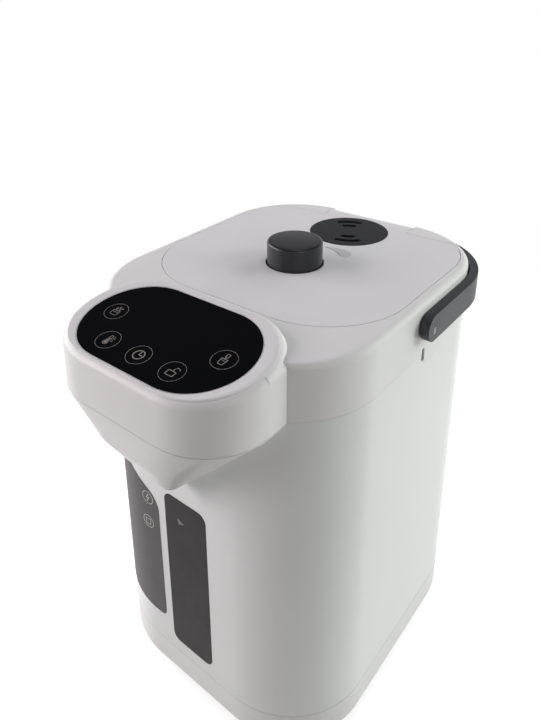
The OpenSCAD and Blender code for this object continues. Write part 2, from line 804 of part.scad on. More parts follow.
module thermostats() color(charcoal) at_pot() for (s = [-1, 1])
  translate([s * 34, 10, pot_z - 9]) {
    cylinder(r = 8, h = 9);
    translate([-11, -3, 2]) cube([22, 6, 2]);
  }

module thermal_fuse() color(rubber) at_pot() translate([0, 44, pot_z - 2.5])
  rotate([0, 90, 0]) cylinder(r = 2.5, h = 26, center = true);

module temperature_sensor() color(steel) at_pot() translate([0, 6, pot_z - 10]) {
  cylinder(r = 3, h = 10);
  cylinder(r = 5, h = 2);
}

// ---------------------------------------------------------------- pump and power

module suction_sleeve() color(rubber) at_pump()
  pipe(port_r + hose_t, port_r, volute_z + volute_h + 4, pot_z - 0.3);

module pump_housing() color(charcoal) difference() {
  union() {
    at_pump() ring(pump_r - pump_wall, pump_r, motor_z + motor_h - 6, volute_z + 1);
    at_pump() ring(motor_r + 0.1, pump_r - 1, motor_z + motor_h - 6, motor_z + motor_h);
    at_pump() translate([0, 0, volute_z]) cylinder(r = pump_r, h = volute_h);
    translate([0, pump_y, port_z]) rotate([90, 0, 0])
      cylinder(r = port_r, h = hose_y + 6 + pump_y);
  }
  at_pump() translate([0, 0, volute_z + volute_floor]) cylinder(r = pump_r - pump_wall, h = volute_h);
  translate([0, pump_y, port_z]) rotate([90, 0, 0]) cylinder(r = port_r - 1.4, h = hose_y);
}

module pump_cover() color(charcoal) at_pump() difference() {
  union() {
    translate([0, 0, volute_z + volute_h]) cylinder(r = pump_r, h = 3);
    translate([0, 0, volute_z + volute_h]) cylinder(r = port_r, h = 9.8);
  }
  translate([0, 0, volute_z]) cylinder(r = port_r - 1.2, h = 40);
}

module impeller() color(white) at_pump() translate([0, 0, volute_z + volute_floor + 0.6]) {
  cylinder(r = 14, h = 3.4);
  cylinder(r = 3, h = 8);
  for (i = [0:5]) rotate([0, 0, i * 60]) translate([1, -0.7, 3]) cube([12, 1.4, 4]);
}

module drive_magnet() color(steel) at_pump() {
  translate([0, 0, magnet_z]) cylinder(r = 14, h = magnet_h);
  translate([0, 0, motor_z + motor_h + 0.3]) cylinder(r = 3, h = 2);
}

module pump_motor() color(steel) at_pump() {
  translate([0, 0, motor_z]) cylinder(r = motor_r, h = motor_h);
  translate([0, 0, motor_z - 0.7]) cylinder(r = 6, h = 1);
}

module riser_hose() color(rubber) {
  translate([0, -hose_y, port_z]) rotate([90, 0, 0])
    pipe(port_r + hose_t, port_r, 0, tube_y - hose_y - hose_bend);
  translate([0, -tube_y + hose_bend, port_z + hose_bend]) rotate([90, 0, 90]) rotate([0, 0, 180])
    rotate_extrude(angle = 90) translate([hose_bend, 0]) difference() {
      circle(port_r + hose_t);
      circle(port_r);
    }
  translate([0, -tube_y, port_z + hose_bend])
    pipe(port_r + hose_t, max(port_r, tube_r), 0, 8);
}

board_w = 92;
board_d = 46;
board_x = 14;
board_y = 62;
board_z = plate_z + base_t + 8;

module power_board() color(board_green) translate([board_x, board_y, board_z]) {
  slab(board_w, board_d, 1.6, 2);
  translate([-38, -16, 1]) cube([24, 22, 19]);
  translate([-6, -14, 1]) cube([18, 12, 14]);
  translate([22, 6, 1]) cylinder(r = 6, h = 18);
  translate([34, -8, 1]) cylinder(r = 4, h = 12);
}

inlet_w = 46;
inlet_pin_h = 6.2;
inlet_h = 28;
inlet_z = plate_z + 46;
inlet_deep = 22;
socket_w = 34;
socket_h = 18;
socket_deep = 13;

module power_inlet() color(charcoal) difference() {
  union() {
    translate([0, body_d / 2 - inlet_deep / 2, inlet_z])
      cube([inlet_w, inlet_deep, inlet_h], center = true);
    translate([0, body_d / 2 + 0.75, inlet_z]) rotate([90, 0, 0])
      linear_extrude(1.5, center = true) rrect(inlet_w + 6, inlet_h + 6, 4);
  }
  translate([0, body_d / 2 + 10 - socket_deep, inlet_z])
    cube([socket_w, 20, socket_h], center = true);
}

module inlet_pins() color(steel) for (i = [-1:1])
  translate([i * 9, body_d / 2 - socket_deep, inlet_z]) rotate([-90, 0, 0])
    cylinder(r = 2, h = inlet_pin_h);

// ---------------------------------------------------------------- lid

lug_x = 24;
lug_w = 6;
lug_r = 5;
lug_drop = 20.6;
lug_gap = 0.4;
vent_ledge = 4;
lid_screw_x = 66;
lid_screw_front = -44;
lid_screw_back = 72;
duct_r = 12;

module lid_posts() {
  for (sx = [-1, 1], y = [lid_screw_front, lid_screw_back])
    translate([sx * lid_screw_x, y, 0]) children();
}

// The lid's outer form: its plan in front of the hinge, and a tail that reaches the body's rear
module lid_outside() {
  intersection() {
    union() {
      difference() {
        translate([0, 0, cover_z]) linear_extrude(cover_h + 1) lid_plan();
        hinge_zone(0);
      }
      intersection() {
        body_prism(barrel_z - barrel_r, body_h + 1, -tail_in);
        translate([-tail_half, tail_y, 0]) cube([2 * tail_half, body_d, 2 * body_h]);
      }
    }
    body_top();
    hinge_reach(barrel_r);
  }
}

module cover_hollow() {
  difference() {
    translate([0, 0, cover_z - 10]) linear_extrude(cover_h + 10 - cover_t) lid_plan(-cover_wall);
    translate([-body_w, tail_y - 2, 0]) cube([2 * body_w, body_d, 2 * body_h]);
    for (s = [-1, 1]) translate([s * 84 - 18, tail_y - 24, 0]) cube([36, body_d, 2 * body_h]);
  }
}

// The crescent that shows which way the knob turns: it widens from its tip round to its end
mark_r = 40;
mark_start = 88;
mark_end = 46;
mark_w = 8;
mark_depth = 0.8;

module turn_mark() {
  n = 14;
  angle = [for (i = [0:n]) mark_start + (mark_end - mark_start) * i / n];
  half = [for (i = [0:n]) 0.2 + (mark_w / 2 - 0.2) * pow(i / n, 1.6)];
  outer = [for (i = [0:n]) (mark_r + half[i]) * [cos(angle[i]), sin(angle[i])]];
  inner = [for (i = [n:-1:0]) (mark_r - half[i]) * [cos(angle[i]), sin(angle[i])]];
  polygon(concat(outer, inner));
  rotate(mark_end) translate([mark_r, 0]) circle(mark_w / 2);
}

module lid_cover() color(pale) difference() {
  union() {
    difference() {
      lid_outside();
      cover_hollow();
    }
    lid_posts() translate([0, 0, cover_z]) cylinder(r = 4.5, h = cover_h - 1);
    // Guide round the lock ring, above the bolt
    at_knob() ring(ring_r + run_gap, ring_r + run_gap + 2, bolt_z + bolt_t + 0.6, body_h - 2);
    // Cheeks beside the bolt
    for (s = [-1, 1]) translate([s * (bolt_w / 2 + 0.4 + 1.2) - 1.2, -lid_front + 6, bolt_z])
      cube([2.4, 20, body_h - 1 - bolt_z]);
    // Ledge under the vent disc
    translate([0, vent_y, 0]) difference() {
      translate([0, 0, body_h - cover_t - 2.5]) cylinder(r = vent_r + 2.4, h = 3);
      translate([0, 0, 0]) cylinder(r = vent_r - vent_ledge, h = body_h);
    }
  }
  at_knob() cylinder(r = knob_r + 1.1, h = 2 * body_h);
  translate([0, vent_y, body_h - cover_t]) cylinder(r = vent_r + 0.2, h = 20);
  translate([0, vent_y, 0]) cylinder(r = vent_r - vent_ledge, h = body_h + 10);
  lid_posts() cylinder(r = screw_r - 0.1, h = body_h - 4);
  at_knob() translate([0, 0, body_h - mark_depth]) linear_extrude(5) turn_mark();
  // Way out for the latch bolt
  translate([-bolt_w / 2 - 0.4, -lid_front - 5, bolt_z - 0.4])
    cube([bolt_w + 0.8, 12, bolt_t + 0.8]);
  // Hinge: pin bore, and a pocket round each lug that is open below and behind
  translate([-body_w, barrel_y, barrel_z]) rotate([0, 90, 0])
    cylinder(r = hinge_pin_r + pin_gap, h = 2 * body_w);
  for (s = [-1, 1]) translate([s * lug_x - lug_w / 2 - lug_gap, barrel_y, barrel_z]) {
    rotate([0, 90, 0]) cylinder(r = lug_r + lug_gap, h = lug_w + 2 * lug_gap);
    translate([0, -lug_r - lug_gap, -30])
      cube([lug_w + 2 * lug_gap, 2 * lug_r + 2 * lug_gap, 30]);
    translate([0, 0, -30]) cube([lug_w + 2 * lug_gap, 30, 30 + lug_r + lug_gap]);
  }
}

module lid_base() color(white) difference() {
  union() {
    intersection() {
      translate([0, 0, lid_base_z]) linear_extrude(lid_base_h) lid_plan(-lid_inset);
      translate([-body_w, -body_d, 0]) cube([2 * body_w, body_d + tail_y - 3, body_h]);
    }
    at_knob() translate([0, 0, cup_z]) cylinder(r = cup_r + cup_wall, h = lid_base_z - cup_z + 1);
  }
  // Tray, with the rim left standing
  difference() {
    translate([0, 0, lid_floor_z]) linear_extrude(lid_base_h) lid_plan(-lid_inset - 2);
    lid_posts() cylinder(r = 5, h = body_h);
    translate([-body_w, tail_y - 4.6, 0]) cube([2 * body_w, body_d, body_h]);
  }
  at_knob() translate([0, 0, cup_floor]) cylinder(r = cup_r, h = body_h);
  at_knob() cylinder(r = 2.2, h = body_h);
  // Notch in the rim for the latch bolt
  translate([-bolt_w / 2 - 0.4, -lid_front, bolt_z - run_gap]) cube([bolt_w + 0.8, 8, 10]);
  translate([0, vent_y, 0]) cylinder(r = duct_r + 0.2, h = body_h);
  lid_posts() cylinder(r = screw_r, h = body_h);
  lid_posts() translate([0, 0, lid_base_z - 1]) cylinder(r = 3.4, h = 3.2);
}

module inner_lid() color(steel) difference() {
  at_pot() {
    translate([0, 0, inner_lid_z]) cylinder(r = pot_r + 2, h = inner_lid_t);
    ring(mouth_r - 5, mouth_r - 4, inner_lid_z - 5, inner_lid_z + 0.5);
  }
  at_knob() cylinder(r = cup_r + cup_wall + 0.2, h = body_h);
  translate([0, vent_y, 0]) cylinder(r = duct_r + 0.2, h = body_h);
  lid_posts() cylinder(r = 3.6, h = body_h);
}

module lid_gasket() color(rubber)
  at_pot() ring(mouth_r - 4, pot_r + 1, mouth_top + run_gap, inner_lid_z);

module lid_screws() color(steel) lid_posts() translate([0, 0, lid_base_z + 0.2]) {
  cylinder(r = 3.2, h = 2);
  cylinder(r = screw_r - 0.1, h = 13);
}

// An arc slot with round ends, centred on the +Y axis
module arc_slot(r, half_angle, w, h) {
  rotate([0, 0, 90 - half_angle]) rotate_extrude(angle = 2 * half_angle)
    translate([r - w / 2, 0]) square([w, h]);
  for (s = [-1, 1]) rotate([0, 0, 90 + s * half_angle]) translate([r, 0, 0])
    cylinder(r = w / 2, h = h);
}

slot_long_r = 22;
slot_short_r = 12.5;
slot_turn = 28;
arc_w = 5;

module vent_disc() color(charcoal) translate([0, vent_y, 0]) difference() {
  union() {
    translate([0, 0, body_h - cover_t]) cylinder(r = vent_r, h = cover_t + 0.2);
    ring(vent_r - vent_ledge - 2.2, vent_r - vent_ledge - 0.2, body_h - cover_t - 4,
      body_h - cover_t + 1);
  }
  for (side = [0, 180]) rotate([0, 0, slot_turn + side])
    translate([0, 0, body_h - cover_t - 1]) {
      arc_slot(slot_long_r, 23, arc_w, 10);
      arc_slot(slot_short_r, 17, arc_w, 10);
    }
}

module steam_duct() color(white) translate([0, vent_y, 0]) difference() {
  union() {
    translate([0, 0, inner_lid_z - 8]) cylinder(r = duct_r, h = body_h - cover_t - inner_lid_z + 6);
    translate([0, 0, lid_floor_z]) cylinder(r = duct_r + 1.8, h = 2);
  }
  translate([0, 0, inner_lid_z - 6.5]) cylinder(r = duct_r - 1.5, h = body_h);
  for (i = [0:5]) rotate([0, 0, i * 60]) translate([8, 0, inner_lid_z - 9])
    cylinder(r = 2, h = 4);
}

module hinge_pin() color(steel) translate([-lug_x - 14, barrel_y, barrel_z]) rotate([0, 90, 0])
  cylinder(r = hinge_pin_r, h = 2 * (lug_x + 14));

// ---------------------------------------------------------------- knob, lock and bellows

// Radius of the spiral slot, as a function of how far the ring has turned
function cam_radius(turn) = cam_r0 + bolt_travel * turn / knob_turn;

module cam_slot() {
  half = cam_pin_r + 0.3;
  from = -cam_margin;
  upto = knob_turn + cam_margin;
  n = 16;
  turns = [for (i = [0:n]) from + (upto - from) * i / n];
  outer = [for (t = turns) (cam_radius(t) + half) * [cos(-90 - t), sin(-90 - t)]];
  inner = [for (i = [n:-1:0]) (cam_radius(turns[i]) - half)
    * [cos(-90 - turns[i]), sin(-90 - turns[i])]];
  polygon(concat(outer, inner));
}

module lock_ring() color(charcoal) at_knob() difference() {
  union() {
    translate([0, 0, ring_z]) cylinder(r = ring_r, h = ring_top - ring_z);
    translate([0, 0, ring_z]) cylinder(r = cam_radius(knob_turn) + 7, h = cam_t);
  }
  cylinder(r = knob_r + slide_gap, h = body_h);
  for (s = [0, 180]) rotate([0, 0, s])
    translate([0, -key_w / 2 - 0.3, ring_z - 1])
      cube([knob_r + key_t + 0.6, key_w + 0.6, ring_top - ring_lip - ring_z + 1]);
  translate([0, 0, ring_z - 1]) linear_extrude(cam_t + 2) cam_slot();
}

module latch_bolt() color(steel) {
  translate([-bolt_w / 2, -bolt_tip, bolt_z])
    cube([bolt_w, bolt_tip + knob_y - ring_r - 0.6, bolt_t]);
  at_knob() translate([0, -cam_r0, ring_z + 0.2])
    cylinder(r = cam_pin_r, h = bolt_z - ring_z + 0.8);
}

module pump_knob() color(charcoal) at_knob() {
  difference() {
    union() {
      translate([0, 0, knob_foot]) cylinder(r = knob_r, h = body_h + knob_h - 2 - knob_foot);
      translate([0, 0, knob_foot]) cylinder(r = knob_r - 2, h = body_h + knob_h - knob_foot);
      translate([0, 0, body_h + knob_h - 2]) rotate_extrude()
        translate([knob_r - 2, 0]) circle(2);
    }
    translate([0, 0, knob_foot - 1])
      cylinder(r = knob_r - knob_wall, h = body_h + knob_h - knob_foot - 2);
  }
  for (s = [0, 180]) rotate([0, 0, s])
    translate([knob_r - 1, -key_w / 2, knob_foot])
      cube([key_t + 1, key_w, ring_top - ring_lip - 0.3 - knob_foot]);
}

module bellows_cap() color(white) at_knob() translate([0, 0, bellows_top])
  cylinder(r = bellows_r, h = cap_t);

module bellows() color(rubber) at_knob() {
  folds = 3;
  t = 1;
  dip = 5;
  h = (bellows_top - cup_floor) / folds;
  zig = [for (i = [0:folds], k = [0:1]) if (i < folds || k == 0)
    [bellows_r - (k == 0 ? dip : 0), cup_floor + h * (i + k / 2)]];
  back = [for (i = [len(zig) - 1:-1:0]) [zig[i][0] - t, zig[i][1]]];
  rotate_extrude() polygon(concat(zig, back));
}

module bellows_spring() color(steel) at_knob()
  coil(14, 0.9, cup_floor + 0.2, bellows_top - 0.2, 4);

module air_valve() color(rubber) at_knob() {
  translate([0, 0, cup_z - 1.5]) cylinder(r = 6, h = 1.5);
  translate([0, 0, cup_z - 1]) cylinder(r = 2, h = 4);
  translate([0, 0, cup_floor]) cylinder(r = 3, h = 1.2);
}

// ---------------------------------------------------------------- handle

module handle_side() {
  translate([pivot_y, pivot_z]) circle(handle_h / 2);
  translate([pivot_y, handle_z]) square([body_d, handle_h]);
}

module handle() color(charcoal) difference() {
  intersection() {
    difference() {
      body_prism(handle_z, handle_z + handle_h, handle_out);
      body_prism(handle_z - 1, handle_z + handle_h + 1, handle_in);
    }
    rotate([90, 0, 90]) linear_extrude(2 * body_w, center = true) handle_side();
  }
  pivot_axis(body_w / 2 - 5, body_w, pivot_r + pin_gap);
  pivot_axis(body_w / 2 + handle_out - cap_h - 0.3, body_w, cap_r + 0.1);
}

module pivot_pins() color(charcoal) {
  pivot_axis(lid_w / 2 + 1.2, body_w / 2 + handle_out - cap_h, pivot_r);
  pivot_axis(body_w / 2 + handle_out - cap_h, body_w / 2 + handle_out - 0.3, cap_r);
}

// ---------------------------------------------------------------- the nodes

swivel_base();
grip_ring();
swivel_retainer();
base_plate();
base_skirt();
base_screws();
outer_jacket();
level_window();
collar();
mouth_ring();
clamp_ring();
tie_rods();
head_cover();
control_glass();
control_board();
touch_pads();
spout_cover();
spout_nozzle();
outlet_pipe();
level_tube();
riser_hose();
inner_pot();
pot_gasket();
outlet_strainer();
heater_band();
insulation_sleeve();
thermostats();
thermal_fuse();
temperature_sensor();
suction_sleeve();
pump_housing();
pump_cover();
impeller();
drive_magnet();
pump_motor();
power_board();
power_inlet();
inlet_pins();
lid_cover();
lid_base();
inner_lid();
lid_gasket();
lid_screws();
vent_disc();
steam_duct();
hinge_pin();
lock_ring();
latch_bolt();
pump_knob();
bellows_cap();
bellows();
bellows_spring();
air_valve();
handle();
pivot_pins();
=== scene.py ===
import math

import bmesh
import bpy
from mathutils import Matrix, Vector


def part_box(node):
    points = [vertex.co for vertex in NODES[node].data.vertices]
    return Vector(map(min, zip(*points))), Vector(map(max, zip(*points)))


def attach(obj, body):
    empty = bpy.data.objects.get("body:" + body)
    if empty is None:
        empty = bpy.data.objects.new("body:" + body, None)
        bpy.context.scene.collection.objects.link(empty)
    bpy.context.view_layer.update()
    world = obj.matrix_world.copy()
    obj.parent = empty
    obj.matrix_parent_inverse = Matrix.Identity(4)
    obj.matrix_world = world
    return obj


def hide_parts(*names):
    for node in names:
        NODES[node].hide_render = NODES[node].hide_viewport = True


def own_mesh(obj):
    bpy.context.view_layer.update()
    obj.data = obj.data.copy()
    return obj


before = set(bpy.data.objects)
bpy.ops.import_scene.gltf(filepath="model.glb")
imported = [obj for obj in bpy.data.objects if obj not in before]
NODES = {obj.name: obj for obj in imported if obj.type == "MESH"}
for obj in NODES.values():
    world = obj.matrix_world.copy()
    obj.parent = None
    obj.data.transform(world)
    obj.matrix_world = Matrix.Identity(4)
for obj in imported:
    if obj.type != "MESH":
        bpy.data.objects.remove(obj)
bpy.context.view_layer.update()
SCENE = bpy.context.scene
MM = 0.001

# ------------------------------------------------------------------ sizes, in millimetres

BODY_W, BODY_D, BODY_R = 214, 258, 68      # the collar's outline and its corner radius
JACKET_INSET = 0.1                         # the jacket stands this far inside that outline
RIM_Y, RIM_Z = -132.75, 330.4              # middle of the head's tilted rim
TILT = math.radians(8.8)
GLASS_W, GLASS_D, GLASS_R = 132, 79, 39
GLASS_SHIFT = -1.7                         # along the tilt, from the rim's middle to the glass's
GLASS_DROP = 0.1                           # the glass's face lies this far under the rim's
# the middles of the touch keys, to the right and to the rear of the glass's middle
KEYS = [(-47.3, 0), (-28.2, -23.6), (0, -23.6), (28.2, -23.6), (47.3, 0)]
KEY_R = 8.4
RIM_FLAT_W, RIM_FLAT_D, RIM_FLAT_R = 145.0, 81.6, 39.5   # where the rim starts to round off
LID_W, LID_R, LID_FRONT, LID_TOP = 198.6, 63.9, 78.5, 330.0
LID_SIDE_Y = 64.0                          # where the lid's sides end in its rear corners
KNOB_Y, KNOB_TRAVEL, BELLOWS_R = 2.8, 12.0, 31.0
HANDLE_OUT, PIVOT_Y, PIVOT_Z, CAP_R = 114.5, 2.0, 312.8, 6.5
LABEL_LEFT, LABEL_RIGHT = -94.5, -27.2     # along the jacket's outline, from the middle of the front
LABEL_LOW, LABEL_TOP = 62.0, 178.0         # LABEL_TOP is the height at its right edge
LABEL_SLOPE = 5 / 9                        # its upper edge climbs to the left
LABEL_T = 0.12
PRINT_T = 0.06                             # thickness of printed lines
PRINT_LIFT = 0.02                          # gap between the glass and the key symbols
LINE = 0.36                                # width of their fine lines

# ------------------------------------------------------------------ materials

NOISE_LOW, NOISE_HIGH = 0.3, 0.7           # nearly all of a noise texture's values lie between


def noise(tree, coords, scale, detail, rough, name):
    n = tree.nodes.new("ShaderNodeTexNoise")
    n.label = name
    n.inputs["Scale"].default_value = scale
    n.inputs["Detail"].default_value = detail
    n.inputs["Roughness"].default_value = rough
    tree.links.new(coords, n.inputs["Vector"])
    return n.outputs["Fac"]


def spread(tree, source, low, high):
    """Stretches a noise texture's values to the range from low to high."""
    m = tree.nodes.new("ShaderNodeMapRange")
    m.inputs["From Min"].default_value = NOISE_LOW
    m.inputs["From Max"].default_value = NOISE_HIGH
    m.inputs["To Min"].default_value = low
    m.inputs["To Max"].default_value = high
    tree.links.new(source, m.inputs["Value"])
    return m.outputs["Result"]


def shade(rgb, factor):
    """The colour, lighter or darker, as RGBA."""
    return tuple(min(1.0, c * factor) for c in rgb) + (1.0,)


def bump(tree, height, strength, distance):
    """A bump of the normal: distance is its depth in metres."""
    node = tree.nodes.new("ShaderNodeBump")
    node.inputs["Strength"].default_value = strength
    node.inputs["Distance"].default_value = distance
    tree.links.new(height, node.inputs["Height"])
    return node


def finish_material(name, rgb, rough=0.35, vary=0.03, blotch=25.0, grain=900.0, grain_depth=0.004,
                    rough_vary=0.06, edge=0.0004, wave=0.0, metallic=0.0, coat=0.0,
                    coat_rough=0.1, specular=0.5, ior=1.46, stretch=None, transmission=0.0,
                    warm=(1.0, 1.0, 1.0), bump_distance=0.00002):
    """A moulded, painted or metal finish: large soft colour changes, uneven gloss, fine grain
    in the normal and softly rounded edges. blotch and grain are noise scales, edge is the
    rounding radius in metres, and warm tints the darker areas."""
    mat = bpy.data.materials.new(name)
    mat.use_nodes = True
    tree = mat.node_tree
    bsdf = tree.nodes["Principled BSDF"]
    where = tree.nodes.new("ShaderNodeTexCoord").outputs["Object"]
    fine_where = where
    if stretch:
        mapping = tree.nodes.new("ShaderNodeMapping")
        mapping.inputs["Scale"].default_value = stretch
        tree.links.new(where, mapping.inputs["Vector"])
        fine_where = mapping.outputs["Vector"]
    large = noise(tree, where, blotch, 4.0, 0.6, "Large changes")
    fine = noise(tree, fine_where, grain, 2.0, 0.5, "Grain")
    ramp = tree.nodes.new("ShaderNodeValToRGB")
    low, high = ramp.color_ramp.elements
    low.position, high.position = NOISE_LOW, NOISE_HIGH
    low.color = shade([c * w for c, w in zip(rgb, warm)], 1.0 - vary)
    high.color = shade(rgb, 1.0 + vary)
    tree.links.new(large, ramp.inputs["Fac"])
    tree.links.new(ramp.outputs["Color"], bsdf.inputs["Base Color"])
    gloss = spread(tree, fine, max(0.02, rough - rough_vary), rough + rough_vary)
    tree.links.new(gloss, bsdf.inputs["Roughness"])
    grained = bump(tree, fine, min(1.0, grain_depth * 100), bump_distance)
    first = grained
    if wave:
        wide = noise(tree, where, blotch * 1.3, 1.0, 0.4, "Sheet ripple")
        first = bump(tree, wide, wave, 0.002)
        tree.links.new(first.outputs["Normal"], grained.inputs["Normal"])
    if edge:
        bevel = tree.nodes.new("ShaderNodeBevel")
        bevel.samples = 6
        bevel.inputs["Radius"].default_value = edge
        tree.links.new(bevel.outputs["Normal"], first.inputs["Normal"])
    tree.links.new(grained.outputs["Normal"], bsdf.inputs["Normal"])
    bsdf.inputs["Metallic"].default_value = metallic
    bsdf.inputs["Specular IOR Level"].default_value = specular
    bsdf.inputs["IOR"].default_value = ior
    bsdf.inputs["Coat Weight"].default_value = coat
    bsdf.inputs["Coat Roughness"].default_value = coat_rough
    bsdf.inputs["Transmission Weight"].default_value = transmission
    return mat


WHITE = finish_material("white_shell", (0.775, 0.775, 0.765), rough=0.36, vary=0.012, coat=0.1,
                        coat_rough=0.25, edge=0.0006, warm=(1.0, 0.997, 0.99), specular=0.35)
HEAD_WHITE = finish_material("head_shell", (0.775, 0.768, 0.765), rough=0.38, vary=0.012, coat=0.1,
                             coat_rough=0.25, edge=0.0009, warm=(1.0, 0.997, 0.992),
                             specular=0.35)
LID_GREY = finish_material("lid_shell", (0.770, 0.768, 0.768), rough=0.40, vary=0.012,
                           coat=0.1, coat_rough=0.25, edge=0.0006, specular=0.35)
JACKET = finish_material("jacket_paint", (0.735, 0.765, 0.752), rough=0.30, vary=0.01, coat=0.25,
                         coat_rough=0.16, edge=0.0, grain=60.0, grain_depth=0.0,
                         rough_vary=0.02, wave=0.015, blotch=9.0, specular=0.35)
CHARCOAL = finish_material("charcoal_shell", (0.020, 0.021, 0.026), rough=0.40, vary=0.06,
                           grain=1400.0, grain_depth=0.004, edge=0.0006, specular=0.4)
HANDLE_MAT = finish_material("handle_shell", (0.045, 0.050, 0.056), rough=0.45, vary=0.05,
                             grain=1200.0, grain_depth=0.006, edge=0.0007, specular=0.4)
GLASS = finish_material("black_glass", (0.003, 0.0033, 0.0042), rough=0.07, vary=0.1,
                        rough_vary=0.015, grain=60.0, grain_depth=0.0, edge=0.0004,
                        specular=0.5)
WINDOW = finish_material("smoked_window", (0.036, 0.032, 0.033), rough=0.45, vary=0.08,
                         rough_vary=0.03, grain=120.0, grain_depth=0.001, edge=0.0005,
                         specular=0.12)
STEEL = finish_material("plated_steel", (0.56, 0.57, 0.58), rough=0.28, vary=0.06, metallic=1.0,
                        grain=800.0, grain_depth=0.004, edge=0.0002)
POT_STEEL = finish_material("brushed_steel", (0.60, 0.60, 0.60), rough=0.26, vary=0.05,
                            metallic=1.0, grain=500.0, grain_depth=0.006, edge=0.0003,
                            stretch=(1.0, 1.0, 40.0))
BRASS = finish_material("pin_brass", (0.72, 0.55, 0.24), rough=0.25, vary=0.06, metallic=1.0,
                        grain=700.0, edge=0.0002)
SILICONE = finish_material("pale_silicone", (0.70, 0.67, 0.62), rough=0.48, vary=0.04,
                           grain=500.0, edge=0.0003, specular=0.4)
RUBBER = finish_material("dark_rubber", (0.035, 0.035, 0.036), rough=0.62, vary=0.12,
                         grain=700.0, grain_depth=0.008, edge=0.0004)
CLEAR = finish_material("clear_tube", (0.82, 0.88, 0.90), rough=0.05, vary=0.01, grain=80.0,
                        rough_vary=0.01, edge=0.0, transmission=0.9, ior=1.49)
BOARD = finish_material("circuit_board", (0.04, 0.20, 0.09), rough=0.40, vary=0.15, blotch=180.0,
                        grain=900.0, edge=0.0001)
MICA = finish_material("mica_band", (0.42, 0.34, 0.24), rough=0.5, vary=0.18, blotch=90.0,
                       grain=600.0, edge=0.0002)
WOOL = finish_material("glass_wool", (0.62, 0.60, 0.52), rough=0.9, vary=0.15, blotch=120.0,
                       grain=420.0, grain_depth=0.02, edge=0.0, specular=0.2,
                       bump_distance=0.0002)
LABEL = finish_material("label_print", (0.120, 0.110, 0.112), rough=0.5, vary=0.05, grain=900.0,
                        grain_depth=0.001, edge=0.0, specular=0.15)
KNOB_MAT = finish_material("knob_shell", (0.017, 0.018, 0.024), rough=0.30, vary=0.06,
                           rough_vary=0.02, grain=500.0, grain_depth=0.0003, edge=0.0006,
                           coat=0.08, coat_rough=0.18, specular=0.4)
VENT_MAT = finish_material("vent_shell", (0.013, 0.014, 0.018), rough=0.48, vary=0.06,
                           grain=1400.0, grain_depth=0.004, edge=0.0006, specular=0.3)
# darker grey for the turn mark: painted shade of the engraved crescent, which lies flush on its
# filled recess
TURN_MARK_PAINTED_SHADE = finish_material("turn_mark_painted_shade", (0.60, 0.595, 0.60), rough=0.5, vary=0.03, edge=0.0)
# lighter grey for the lower half of the pivot catch: painted light on its proud face
PIVOT_CATCH_PAINTED_LIGHT = finish_material("catch_painted_light_shell", (0.20, 0.21, 0.23), rough=0.35, vary=0.05, edge=0.0003)
LEVEL_MAT = finish_material("level_print", (0.15, 0.135, 0.135), rough=0.5, vary=0.05, edge=0.0)
# dark grey for the strip along the turn mark's inner edge: the painted shadow of a sharp groove,
# laid on the lid's face
GROOVE_PAINTED_SHADOW = finish_material("groove_shade", (0.22, 0.22, 0.22), rough=0.6, vary=0.05, edge=0.0)
PRINT = finish_material("icon_print", (0.30, 0.285, 0.265), rough=0.5, vary=0.05, grain=900.0,
                        edge=0.0)
LABEL_PRINT = finish_material("label_icon_print", (0.62, 0.62, 0.60), rough=0.4, vary=0.04,
                              grain=900.0, edge=0.0)
# pale grey for the glass's bevel: a painted highlight, the reflection along the black glass's edge
# painted into its colour
GLASS_BEVEL_PAINTED_HIGHLIGHT = finish_material("glass_bevel_painted_highlight", (0.74, 0.74, 0.76), rough=0.25, vary=0.03, grain=500.0,
                            edge=0.0, coat=0.5, coat_rough=0.1)

NODE_MATERIALS = {
    "swivel_base": CHARCOAL, "grip_ring": RUBBER, "swivel_retainer": STEEL,
    "base_plate": CHARCOAL, "base_skirt": WHITE, "base_screws": STEEL, "outer_jacket": JACKET,
    "level_window": WINDOW, "collar": WHITE, "mouth_ring": WHITE, "clamp_ring": STEEL,
    "tie_rods": STEEL, "head_cover": HEAD_WHITE, "control_glass": GLASS,
    "control_board": BOARD, "touch_pads": SILICONE, "spout_cover": HEAD_WHITE,
    "spout_nozzle": WHITE, "outlet_pipe": SILICONE, "level_tube": CLEAR,
    "riser_hose": SILICONE, "inner_pot": POT_STEEL, "pot_gasket": SILICONE,
    "outlet_strainer": POT_STEEL, "heater_band": MICA, "insulation_sleeve": WOOL,
    "thermostats": CHARCOAL, "thermal_fuse": SILICONE, "temperature_sensor": STEEL,
    "suction_sleeve": SILICONE, "pump_housing": CHARCOAL, "pump_cover": CHARCOAL,
    "impeller": WHITE, "drive_magnet": STEEL, "pump_motor": STEEL, "power_board": BOARD,
    "power_inlet": CHARCOAL, "inlet_pins": BRASS, "lid_cover": LID_GREY, "lid_base": WHITE,
    "inner_lid": POT_STEEL, "lid_gasket": SILICONE, "lid_screws": STEEL,
    "vent_disc": VENT_MAT, "steam_duct": WHITE, "hinge_pin": STEEL, "lock_ring": CHARCOAL,
    "latch_bolt": STEEL, "pump_knob": KNOB_MAT, "bellows_cap": WHITE, "bellows": SILICONE,
    "bellows_spring": STEEL, "air_valve": SILICONE, "handle": HANDLE_MAT,
    "pivot_pins": HANDLE_MAT,
}

# ------------------------------------------------------------------ smooth normals


